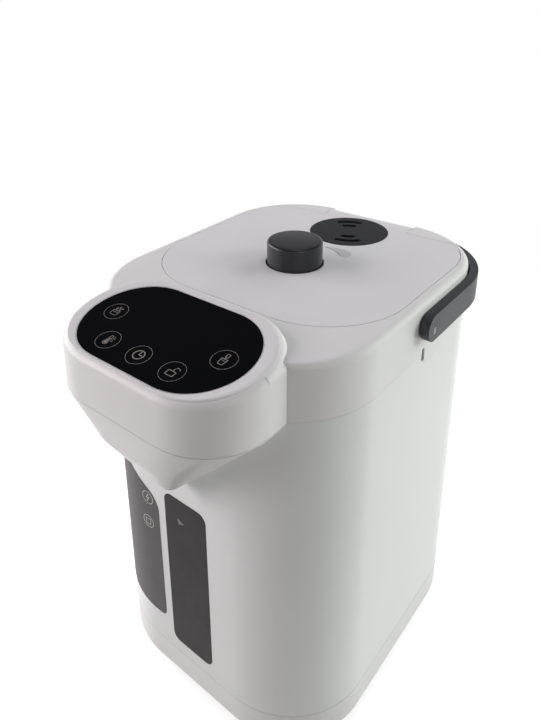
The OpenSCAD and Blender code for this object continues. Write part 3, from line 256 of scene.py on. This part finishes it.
def smooth_group(angle):
    """A modifier group: joins vertices that lie on each other, and shades smooth below angle."""
    group = bpy.data.node_groups.new("smooth_by_angle", "GeometryNodeTree")
    group.interface.new_socket("Geometry", in_out="INPUT", socket_type="NodeSocketGeometry")
    group.interface.new_socket("Geometry", in_out="OUTPUT", socket_type="NodeSocketGeometry")
    start = group.nodes.new("NodeGroupInput")
    end = group.nodes.new("NodeGroupOutput")
    merge = group.nodes.new("GeometryNodeMergeByDistance")
    merge.inputs["Distance"].default_value = 1e-6
    faces = group.nodes.new("GeometryNodeSetShadeSmooth")
    faces.domain = "FACE"
    edges = group.nodes.new("GeometryNodeSetShadeSmooth")
    edges.domain = "EDGE"
    edges.inputs["Shade Smooth"].default_value = False
    edge_angle = group.nodes.new("GeometryNodeInputMeshEdgeAngle")
    compare = group.nodes.new("FunctionNodeCompare")
    compare.data_type = "FLOAT"
    compare.operation = "GREATER_THAN"
    compare.inputs[1].default_value = angle
    link = group.links.new
    link(start.outputs[0], merge.inputs["Geometry"])
    link(merge.outputs["Geometry"], faces.inputs["Geometry"])
    link(faces.outputs["Geometry"], edges.inputs["Geometry"])
    link(edge_angle.outputs["Unsigned Angle"], compare.inputs[0])
    link(compare.outputs["Result"], edges.inputs["Selection"])
    link(edges.outputs["Geometry"], end.inputs[0])
    return group


SMOOTH = smooth_group(math.radians(28))


def smooth(obj):
    """Shades obj smooth, with hard edges where its faces meet at a steeper angle."""
    for p in obj.data.polygons:
        p.use_smooth = True
    mod = obj.modifiers.new("smooth", "NODES")
    mod.node_group = SMOOTH


for node_name, obj in NODES.items():
    obj.data.materials.clear()
    obj.data.materials.append(NODE_MATERIALS[node_name])
    smooth(obj)

# ------------------------------------------------------------------ detail pieces


def add_mesh(name, bm, material, body, rounded=False):
    """Makes bm a piece that rides on a body; a rounded piece is shaded smooth."""
    mesh = bpy.data.meshes.new(name)
    bm.normal_update()
    bm.to_mesh(mesh)
    bm.free()
    obj = bpy.data.objects.new(name, mesh)
    SCENE.collection.objects.link(obj)
    mesh.materials.append(material)
    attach(obj, body)
    if rounded:
        smooth(obj)
    return obj


def loft(rows, closed):
    """Skin between rows of points: round every row, and from row to row (back to the first when
    closed, else with end faces)."""
    bm = bmesh.new()
    made = [[bm.verts.new(v) for v in row] for row in rows]
    n, m = len(made), len(made[0])
    for i in range(n if closed else n - 1):
        a, b = made[i], made[(i + 1) % n]
        for k in range(m):
            bm.faces.new((a[k], b[k], b[(k + 1) % m], a[(k + 1) % m]))
    if not closed:
        bm.faces.new(made[0])
        bm.faces.new(made[-1][::-1])
    bmesh.ops.recalc_face_normals(bm, faces=bm.faces)
    return bm


def panel_point(u, v, h):
    """A point over the glass: u to the right, v to the rear, h above the rim's plane."""
    y, z = v + GLASS_SHIFT, h
    c, s = math.cos(TILT), math.sin(TILT)
    return Vector((u, RIM_Y + y * c - z * s, RIM_Z + y * s + z * c)) * MM


def flat_shape(bm, points, place, h, t=PRINT_T):
    """A closed flat outline as a plate from height h, t thick."""
    low = [bm.verts.new(place(x, y, h)) for x, y in points]
    top = [bm.verts.new(place(x, y, h + t)) for x, y in points]
    bm.faces.new(top)
    bm.faces.new(low[::-1])
    n = len(points)
    for i in range(n):
        bm.faces.new((low[i], low[(i + 1) % n], top[(i + 1) % n], top[i]))


def stroke(bm, x0, y0, x1, y1, w, place, h):
    """A printed line of width w, half of it longer at each end."""
    d = Vector((x1 - x0, y1 - y0)).normalized() * (w / 2)
    q = Vector((-d.y, d.x))
    a, b = Vector((x0, y0)) - d, Vector((x1, y1)) + d
    flat_shape(bm, [tuple(a - q), tuple(b - q), tuple(b + q), tuple(a + q)], place, h)


def stroked(bm, points, w, place, h, closed=False):
    """Printed lines from point to point."""
    ends = points[1:] + points[:1] if closed else points[1:]
    for a, b in zip(points, ends):
        stroke(bm, a[0], a[1], b[0], b[1], w, place, h)


def arc(cx, cy, r, a0, a1, n):
    """Points along a circle, angles in degrees."""
    return [(cx + r * math.cos(math.radians(a0 + (a1 - a0) * i / n)),
             cy + r * math.sin(math.radians(a0 + (a1 - a0) * i / n))) for i in range(n + 1)]


def ring_strip(bm, cx, cy, r_out, r_in, place, h, seg=48):
    """A printed circle between two radii."""
    rows = []
    for i in range(seg):
        a = 2 * math.pi * i / seg
        rows.append([bm.verts.new(place(cx + math.cos(a) * r, cy + math.sin(a) * r, z))
                     for r, z in ((r_out, h), (r_out, h + PRINT_T), (r_in, h + PRINT_T),
                                  (r_in, h))])
    for a, b in zip(rows, rows[1:] + rows[:1]):
        for k in range(4):
            bm.faces.new((a[k], b[k], b[(k + 1) % 4], a[(k + 1) % 4]))


# The key symbols are drawn round their own middle: at places a point, and h is their height.


def boiling_pot(bm, at, h):
    """A round-bottomed pot, its water line and rising bubbles."""
    pot = [(-3.0, 0.9)] + arc(-1.6, -2.4, 1.4, 180, 270, 5) + arc(1.6, -2.4, 1.4, 270, 360, 5)
    stroked(bm, pot + [(3.0, 0.9)], LINE, at, h, closed=True)
    water = [(-2.2, -1.0), (-1.1, -0.5), (0.0, -1.0), (1.1, -0.5), (2.2, -1.0)]
    stroked(bm, water, LINE, at, h)
    for x, y, r in ((-1.7, 2.5, 0.95), (1.2, 2.4, 0.8), (-0.2, 4.3, 0.75), (2.4, 4.0, 0.55)):
        ring_strip(bm, x, y, r, r - 0.32, at, h, seg=20)


def thermometer(bm, at, h):
    """A thermometer with its scale."""
    tube = arc(0, 3.3, 1.05, 0, 180, 8)
    stroked(bm, [(1.05, -1.0)] + tube + [(-1.05, -1.0)], LINE, at, h)
    ring_strip(bm, 0, -2.4, 2.0, 1.64, at, h, seg=28)
    flat_shape(bm, arc(0, -2.4, 1.1, 0, 345, 23), at, h)
    stroke(bm, 0, -2.0, 0, 1.4, 0.7, at, h)
    for i in range(4):
        y = -0.2 + i * 1.3
        stroke(bm, 2.3, y, 3.2 if i % 2 else 3.9, y, LINE, at, h)


def clock(bm, at, h):
    ring_strip(bm, 0, 0, 4.1, 3.45, at, h)
    stroked(bm, [(0, 2.7), (0, 0), (2.5, 0)], 0.6, at, h)


def open_padlock(bm, at, h):
    body = [(-2.9, 0.3), (-2.9, -3.6), (2.9, -3.6), (2.9, 0.3)]
    stroked(bm, body, 0.5, at, h, closed=True)
    shackle = [(0.2, 0.3), (0.2, 2.1)] + arc(1.95, 2.1, 1.75, 180, 20, 10)
    stroked(bm, shackle, 0.5, at, h)


def filling_glass(bm, at, h):
    """A glass with water in it, under a spout that drips."""
    glass = [(-2.3, 0.6), (-1.7, -4.4), (1.7, -4.4), (2.3, 0.6)]
    stroked(bm, glass, 0.42, at, h, closed=True)
    stroked(bm, [(-1.9, -1.1), (-0.6, -0.7), (0.6, -1.2), (1.9, -0.8)], LINE, at, h)
    spout = [(-1.1, 5.0), (-1.1, 2.4), (1.1, 2.4), (1.1, 5.0)]
    stroked(bm, spout, 0.42, at, h, closed=True)
    for x in (-0.45, 0.45):
        stroke(bm, x, 1.9, x, 1.1, 0.3, at, h)


def key_icons():
    """The five touch keys' circles, each with its symbol."""
    bm = bmesh.new()
    h = PRINT_LIFT - GLASS_DROP
    symbols = (boiling_pot, thermometer, clock, open_padlock, filling_glass)
    for (cx, cy), symbol in zip(KEYS, symbols):
        def at(x, y, z, cx=cx, cy=cy):
            return panel_point(cx + x, cy + y, z)

        ring_strip(bm, 0, 0, KEY_R, KEY_R - 0.2, at, h, seg=72)
        symbol(bm, at, h)
    add_mesh("key_icons", bm, PRINT, "body")


def stadium(w, d, r):
    """Outline of a w by d rectangle with corners of radius r, anticlockwise from its right side."""
    points = []
    for k, (sx, sy) in enumerate(((1, 1), (-1, 1), (-1, -1), (1, -1))):
        points += arc(sx * (w / 2 - r), sy * (d / 2 - r), r, 90 * k, 90 * (k + 1), 24)
    return points


def glass_edge():
    """The polished bevel round the glass panel's top edge, coloured pale grey as a painted
    highlight: the reflection along the black glass's edge painted into its colour.
    """
    # how far outside the glass's edge, and height from the rim's plane
    section = ((0.0, -0.6), (0.0, -0.16), (-0.14, -0.04), (-0.34, -0.03), (-0.38, -0.06),
               (-0.38, -0.6))
    loops = [[panel_point(x, y, h)
              for x, y in stadium(GLASS_W + 2 * out, GLASS_D + 2 * out, GLASS_R + out)]
             for out, h in section]
    bm = loft(list(zip(*loops)), True)
    add_mesh("glass_edge", bm, GLASS_BEVEL_PAINTED_HIGHLIGHT, "body", rounded=True)


def jacket_point(s, z, out=0.0):
    """A point of the jacket's face, on its front or round a front corner: s is the way along its
    outline from the middle of the front, to the right, and out is how far it stands proud."""
    r = BODY_R - JACKET_INSET
    flat = BODY_W / 2 - BODY_R
    turn = max(0.0, abs(s) - flat) / r
    x = min(abs(s), flat) + (r + out) * math.sin(turn)
    y = BODY_R - BODY_D / 2 - (r + out) * math.cos(turn)
    return Vector((math.copysign(x, s), y, z)) * MM


def corner_cut(s, r):
    """How far the label's rounded corners, of radius r, take its edge in at s."""
    d = min(s - LABEL_LEFT, LABEL_RIGHT - s)
    return r - math.sqrt(max(0.0, r * r - (r - d) ** 2)) if d < r else 0.0


def feature_label():
    """The printed label, which follows the jacket round its front left corner."""
    cols, rows, top_r, low_r, back = 90, 24, 10.0, 6.0, 0.01
    strips = []
    for i in range(cols + 1):
        s = LABEL_LEFT + (LABEL_RIGHT - LABEL_LEFT) * i / cols
        hi = LABEL_TOP + LABEL_SLOPE * (LABEL_RIGHT - s) - corner_cut(s, top_r)
        lo = LABEL_LOW + corner_cut(s, low_r)
        heights = [lo + (hi - lo) * k / rows for k in range(rows + 1)]
        strips.append([jacket_point(s, z, LABEL_T) for z in heights]
                      + [jacket_point(s, z, back) for z in reversed(heights)])
    bm = loft(strips, False)
    add_mesh("feature_label", bm, LABEL, "body", rounded=True)


def label_icons():
    """The label's two round symbols: a flash, and a pot with its lid."""
    bm = bmesh.new()
    flash = [(0.9, 3.4), (-1.5, -0.2), (1.3, 0.2), (-0.9, -3.4)]
    pot = [(-2.6, 1.4), (-2.1, -2.6), (2.1, -2.6), (2.6, 1.4)]
    pot_lid = [(-3.0, 2.4), (3.0, 2.4)]
    h = LABEL_T + 0.01
    for s, z, w, lines in ((-38.6, 174.8, 0.6, [flash]), (-39.8, 151.6, 0.45, [pot, pot_lid])):
        def at(x, y, h, s=s, z=z):
            return jacket_point(s + x, z + y, h)

        ring_strip(bm, 0, 0, 5.6, 5.15, at, h)
        for points in lines:
            stroked(bm, points, w, at, h)
    add_mesh("label_icons", bm, LABEL_PRINT, "body")


def rim_bead():
    """The soft ridge of the head's rim, between the glass and the rounded outer edge."""
    gap, reach = 0.45, 2.7         # from the glass's edge, and past where the rim rounds off
    inner = [(x, y + GLASS_SHIFT)
             for x, y in stadium(GLASS_W + 2 * gap, GLASS_D + 2 * gap, GLASS_R + gap)]
    outer = stadium(RIM_FLAT_W + 2 * reach, RIM_FLAT_D + 2 * reach, RIM_FLAT_R + reach)
    # share of the way from inner to outer, and height
    section = ((0.0, -0.5), (0.0, 0.01), (0.3, 0.10), (0.55, 0.30), (0.72, 0.42), (0.86, 0.28),
               (1.0, -0.50), (0.98, -1.2))
    rows = [[panel_point(a[0] + (b[0] - a[0]) * t, a[1] + (b[1] - a[1]) * t - GLASS_SHIFT, h)
             for t, h in section] for a, b in zip(inner, outer)]
    add_mesh("rim_bead", loft(rows, True), HEAD_WHITE, "body", rounded=True)


def lid_outline(grow):
    """The lid's outline from its rear left corner round the front to its rear right corner."""
    w, r, front = LID_W / 2 + grow, LID_R + grow, LID_FRONT + grow
    rear = arc(w - r, LID_SIDE_Y, r, 24, 0, 8)
    return ([(-x, y) for x, y in rear] + arc(r - w, r - front, r, 180, 270, 24)
            + arc(w - r, r - front, r, 270, 360, 24) + rear[::-1])


def lid_lip():
    """The lid's thin sealing lip, which closes most of the seam just under its top edge."""
    # how far outside the lid's edge, and height from its top
    section = ((-0.25, -1.6), (-0.25, -0.5), (0.1, -0.42), (0.42, -0.55), (0.45, -1.6))
    loops = [[Vector((x, y, LID_TOP + h)) * MM for x, y in lid_outline(out)]
             for out, h in section]
    bm = loft(list(zip(*loops)), False)
    add_mesh("lid_lip", bm, LID_GREY, "lid", rounded=True)


def lid_point(x, y, h):
    """A point over the lid's top."""
    return Vector((x, y, LID_TOP + h)) * MM


def turn_mark_bed():
    """A filling for the lid's own recess beside the knob, so that the mark stands on a flush
    face."""
    ring_r, start, end = 40, 88, 46        # the recess bends round the knob, angles in degrees
    narrow, wide, steps = 0.16, 3.96, 28   # half its width at start and end, less 0.04 of play
    low, high = -0.78, -0.01
    near_side, far_side = [], []
    for i in range(steps + 1):
        t = i / steps
        a = math.radians(start + (end - start) * t)
        half = narrow + (wide - narrow) * t ** 1.6
        near_side.append(((ring_r - half) * math.cos(a), KNOB_Y + (ring_r - half) * math.sin(a)))
        far_side.append(((ring_r + half) * math.cos(a), KNOB_Y + (ring_r + half) * math.sin(a)))
    a = math.radians(end)
    round_end = arc(ring_r * math.cos(a), KNOB_Y + ring_r * math.sin(a), wide, end, end - 180, 20)
    bm = bmesh.new()
    flat_shape(bm, far_side + round_end[1:-1] + near_side[::-1], lid_point, low, high - low)
    add_mesh("turn_mark_bed", bm, LID_GREY, "lid")


def turn_mark():
    """The raised crescent beside the knob, in a darker grey that is painted shade of its engraving,
    with a dark strip along its inner edge that is the painted shadow of a sharp groove.
    """
    outer = [(2.6, 41.6), (7.7, 43.8), (14.1, 45.4), (20.4, 45.1), (25.0, 43.0), (27.5, 40.0),
             (28.6, 36.2), (27.6, 33.2), (25.4, 32.0), (21.5, 33.2)]
    inner = [(15.4, 38.0), (8.5, 40.4), (3.5, 40.6)]
    shadow_line_start, shadow_line_w = (21.5, 33.4), 0.5
    bm = bmesh.new()
    flat_shape(bm, outer + inner, lid_point, -0.012, 0.04)
    add_mesh("turn_mark", bm, TURN_MARK_PAINTED_SHADE, "lid")
    # a dark strip on the lid's face: the painted shadow of a groove along the crescent's inner edge
    bm = bmesh.new()
    stroked(bm, [shadow_line_start] + inner, shadow_line_w, lid_point, 0.03)
    add_mesh("turn_mark_groove_painted_shadow", bm, GROOVE_PAINTED_SHADOW, "lid")


def handle_marks():
    """The covers of the pivot pins in the handle's ends, each with its small catch drawn as two flat
    pieces: the upper one charcoal as painted shade, the lower one a lighter grey as painted light.
    """
    upper = [(-2.2, 4.4), (-0.6, 5.0), (1.6, 4.6), (1.9, 0.6), (-1.6, 0.2)]
    lower = [(-1.8, 0.1), (1.7, 0.4), (1.5, -4.0), (0.4, -5.0), (-1.4, -4.6)]
    for sign, side in ((1, "right"), (-1, "left")):
        def at(y, z, h, sign=sign):
            return Vector((sign * (HANDLE_OUT + h), PIVOT_Y + y, PIVOT_Z + z)) * MM

        bm = bmesh.new()
        flat_shape(bm, arc(0, 0, CAP_R + 0.07, 0, 352.5, 47), at, -0.28, 0.25)
        add_mesh("pivot_cover_" + side, bm, HANDLE_MAT, "carry_handle",
                 rounded=True)
        # the upper piece is charcoal as painted shade, the lower one lighter grey as painted light
        for name, outline, thick, material in (("upper", upper, 0.02, CHARCOAL),
                                               ("lower", lower, 0.035, PIVOT_CATCH_PAINTED_LIGHT)):
            bm = bmesh.new()
            flat_shape(bm, outline, at, -0.04, thick)
            add_mesh("pivot_catch_" + name + "_" + side, bm, material, "carry_handle")


def window_mark():
    """The small pale triangle that marks the fullest water level."""
    bm = bmesh.new()
    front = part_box("level_window")[0][1] / MM

    def at(x, z, h):
        return Vector((x, front - h, z)) * MM

    flat_shape(bm, [(-7.4, 174.6), (-0.6, 172.0), (-6.6, 169.4)], at, 0.0, 0.05)
    add_mesh("level_mark", bm, LEVEL_MAT, "body")


def knob_point(r, a, z):
    """A point at radius r and angle a round the knob's axis."""
    return Vector((r * math.cos(a), KNOB_Y + r * math.sin(a), z)) * MM


def bellows():
    """The hand pump's bellows: round-lipped folds, which in the real pump close up under the pressed
    knob; this skin keeps its shape, riding on the lid.
    """
    folds, per_fold, round_steps = 3, 12, 72
    dip, wall, lip_shape = 5.0, 1.0, 0.8
    low, high = (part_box("bellows")[i][2] / MM for i in (0, 1))
    step = (high - low) / folds
    path = []
    for i in range(folds * per_fold + 1):
        t = i / per_fold
        swell = 0.5 - 0.5 * math.cos(2 * math.pi * t)
        path.append((BELLOWS_R - dip + dip * swell ** lip_shape, low + step * t))
    section = path + [(r - wall, z) for r, z in reversed(path)]
    rows = [[knob_point(r, 2 * math.pi * i / round_steps, z) for r, z in section]
            for i in range(round_steps)]
    obj = add_mesh("bellows_skin", loft(rows, True), SILICONE, "lid", rounded=True)
    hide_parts("bellows")
    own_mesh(obj)


def bellows_spring():
    """The coil spring inside the bellows, with its ends lying flat."""
    low, high = (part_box("bellows_spring")[i][2] / MM for i in (0, 1))
    wire, radius, turns, per_turn, sides = 0.9, 14.0, 4, 32, 10
    flat_share = 0.08              # of its length, at each end
    steps = turns * per_turn
    rows = []
    for i in range(steps + 1):
        a = 2 * math.pi * i / per_turn
        t = min(1.0, max(0.0, (i / steps - flat_share) / (1 - 2 * flat_share)))
        z = low + wire + (high - low - 2 * wire) * t
        turned = [2 * math.pi * k / sides for k in range(sides)]
        rows.append([knob_point(radius + wire * math.cos(b), a, z + wire * math.sin(b))
                     for b in turned])
    obj = add_mesh("bellows_coil", loft(rows, False), STEEL, "lid", rounded=True)
    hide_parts("bellows_spring")
    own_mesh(obj)


key_icons()
glass_edge()
bellows()
bellows_spring()
rim_bead()
lid_lip()
turn_mark_bed()
turn_mark()
handle_marks()
window_mark()
feature_label()
label_icons()

# ------------------------------------------------------------------ floor, lights and camera


def mix_shader(tree, factor, first, second):
    """first where factor is 0, second where it is 1."""
    node = tree.nodes.new("ShaderNodeMixShader")
    tree.links.new(factor, node.inputs["Fac"])
    tree.links.new(first, node.inputs[1])
    tree.links.new(second, node.inputs[2])
    return node.outputs[0]


def greater(tree, a, b):
    """The greater of two values."""
    node = tree.nodes.new("ShaderNodeMath")
    node.operation = "MAXIMUM"
    tree.links.new(a, node.inputs[0])
    tree.links.new(b, node.inputs[1])
    return node.outputs[0]


def soft_range(tree, value, start, end, low=0.0, high=1.0):
    """Goes smoothly from low to high while value goes from start to end."""
    node = tree.nodes.new("ShaderNodeMapRange")
    node.interpolation_type = "SMOOTHSTEP"
    node.inputs["From Min"].default_value = start
    node.inputs["From Max"].default_value = end
    node.inputs["To Min"].default_value = low
    node.inputs["To Max"].default_value = high
    tree.links.new(value, node.inputs["Value"])
    return node.outputs["Result"]


def floor_paper():
    """Pale paper that lights the object as such, and that cameras and reflections see white
    except in the object's shadow."""
    mat = bpy.data.materials.new("floor_paper")
    mat.use_nodes = True
    tree = mat.node_tree
    bsdf = tree.nodes["Principled BSDF"]
    bsdf.inputs["Base Color"].default_value = (0.40, 0.40, 0.40, 1.0)
    bsdf.inputs["Roughness"].default_value = 0.9
    # near the object it glows but still takes a shadow, and farther off it is plain white
    glow = tree.nodes.new("ShaderNodeEmission")
    glow.inputs["Strength"].default_value = 0.62
    pale = tree.nodes.new("ShaderNodeBsdfDiffuse")
    pale.inputs["Color"].default_value = (0.8, 0.8, 0.8, 1.0)
    near = tree.nodes.new("ShaderNodeAddShader")
    tree.links.new(glow.outputs[0], near.inputs[0])
    tree.links.new(pale.outputs[0], near.inputs[1])
    far = tree.nodes.new("ShaderNodeEmission")
    where = tree.nodes.new("ShaderNodeTexCoord")
    distance = tree.nodes.new("ShaderNodeVectorMath")
    distance.operation = "LENGTH"
    tree.links.new(where.outputs["Object"], distance.inputs[0])
    fade = soft_range(tree, distance.outputs["Value"], 0.3, 0.9)
    paper = mix_shader(tree, fade, near.outputs[0], far.outputs[0])
    path = tree.nodes.new("ShaderNodeLightPath").outputs
    seen = greater(tree, greater(tree, path["Is Camera Ray"], path["Is Glossy Ray"]),
                   path["Is Transmission Ray"])
    shown = mix_shader(tree, seen, bsdf.outputs[0], paper)
    tree.links.new(shown, tree.nodes["Material Output"].inputs["Surface"])
    return mat


def paper_floor():
    bm = bmesh.new()
    bmesh.ops.create_circle(bm, cap_ends=True, radius=6.0, segments=96)
    floor_mesh = bpy.data.meshes.new("floor")
    bm.to_mesh(floor_mesh)
    bm.free()
    floor = bpy.data.objects.new("floor", floor_mesh)
    SCENE.collection.objects.link(floor)
    floor.location.z = -0.0002             # just under the base
    floor_mesh.materials.append(floor_paper())


def studio_world():
    """A dim fill for the object, plain white behind it, and in reflections a white room low
    down with a dim ceiling over it."""
    world = bpy.data.worlds.new("studio")
    SCENE.world = world
    world.use_nodes = True
    tree = world.node_tree
    tree.nodes.clear()

    def background(colour, strength):
        node = tree.nodes.new("ShaderNodeBackground")
        node.inputs["Color"].default_value = colour
        node.inputs["Strength"].default_value = strength
        return node

    fill = background((0.985, 0.975, 1.0, 1.0), 0.05)
    seen = background((1.0, 1.0, 1.0, 1.0), 1.0)
    mirrored = background((1.0, 1.0, 1.0, 1.0), 1.0)
    sky = tree.nodes.new("ShaderNodeTexCoord")
    split = tree.nodes.new("ShaderNodeSeparateXYZ")
    tree.links.new(sky.outputs["Generated"], split.inputs[0])
    ceiling = soft_range(tree, split.outputs["Z"], math.sin(math.radians(8)),
                         math.sin(math.radians(32)), 0.95, 0.04)
    tree.links.new(ceiling, mirrored.inputs["Strength"])
    path = tree.nodes.new("ShaderNodeLightPath").outputs
    indirect = mix_shader(tree, path["Is Glossy Ray"], fill.outputs[0], mirrored.outputs[0])
    direct = greater(tree, path["Is Camera Ray"], path["Is Transmission Ray"])
    out = tree.nodes.new("ShaderNodeOutputWorld")
    tree.links.new(mix_shader(tree, direct, indirect, seen.outputs[0]), out.inputs["Surface"])


AIM = Vector((0, -0.03, 0.25))
BOX_DISTANCE, BOX_SIZE = 2.1, 1.2          # metres


def soft_box(name, azimuth, elevation, power, colour):
    """A square soft box: azimuth 0 is in front of the pot and 90 to its right."""
    light = bpy.data.lights.new(name, "AREA")
    light.shape = "SQUARE"
    light.size = BOX_SIZE
    light.energy = power
    light.color = colour
    obj = bpy.data.objects.new(name, light)
    SCENE.collection.objects.link(obj)
    a, e = math.radians(azimuth), math.radians(elevation)
    way = Vector((math.sin(a) * math.cos(e), -math.cos(a) * math.cos(e), math.sin(e)))
    obj.location = AIM + way * BOX_DISTANCE
    obj.rotation_euler = (-way).to_track_quat("-Z", "Y").to_euler()
    return obj


paper_floor()
studio_world()
soft_box("left", -80, 18, 22.0, (1.0, 0.98, 0.97))
soft_box("front_left", -45, 18, 26.0, (1.0, 0.93, 0.95))
soft_box("right", 62, 18, 7.0, (1.0, 0.90, 0.88))
rear_boxes = (soft_box("rear_right", 128, 18, 25.0, (0.92, 1.0, 0.95)),
              soft_box("rear", 170, 18, 17.0, (1.0, 0.96, 0.90)))
for box in rear_boxes:
    box.visible_glossy = False             # not mirrored, so that the glass stays dark
soft_box("top", 180, 80, 8.5, (0.86, 0.82, 1.0))

# The camera is the photo's, found by a fit to its landmarks: angles in degrees, the point it looks
# at in metres, and focal length and optical centre in the photo's pixels

AZIMUTH, ELEVATION, ROLL = 41.39, 20.49, -1.72
DISTANCE, TARGET = 0.5897, Vector((-0.10117, 0.03815, 0.330))
FOCAL_PX, CENTRE_X, CENTRE_Y = 655.8, 224.8, 220.9
FRAME_W, FRAME_H = 540, 720
SENSOR = 36.0


def photo_camera():
    az, el, roll = (math.radians(a) for a in (AZIMUTH, ELEVATION, ROLL))
    back = Vector((math.sin(az) * math.cos(el), -math.cos(az) * math.cos(el), math.sin(el)))
    level = (-back).cross(Vector((0, 0, 1))).normalized()
    upright = level.cross(-back)
    right = level * math.cos(roll) + upright * math.sin(roll)
    up = upright * math.cos(roll) - level * math.sin(roll)
    data = bpy.data.cameras.new("camera")
    data.sensor_width = SENSOR
    data.lens = FOCAL_PX / FRAME_H * SENSOR
    data.shift_x = (FRAME_W / 2 - CENTRE_X) / FRAME_H
    data.shift_y = (CENTRE_Y - FRAME_H / 2) / FRAME_H
    data.clip_start, data.clip_end = 0.01, 50.0
    cam = bpy.data.objects.new("camera", data)
    SCENE.collection.objects.link(cam)
    turn = Matrix((right, up, back)).transposed().to_4x4()
    cam.matrix_world = Matrix.Translation(TARGET + back * DISTANCE) @ turn
    SCENE.camera = cam


photo_camera()
SCENE.view_settings.view_transform = "Standard"
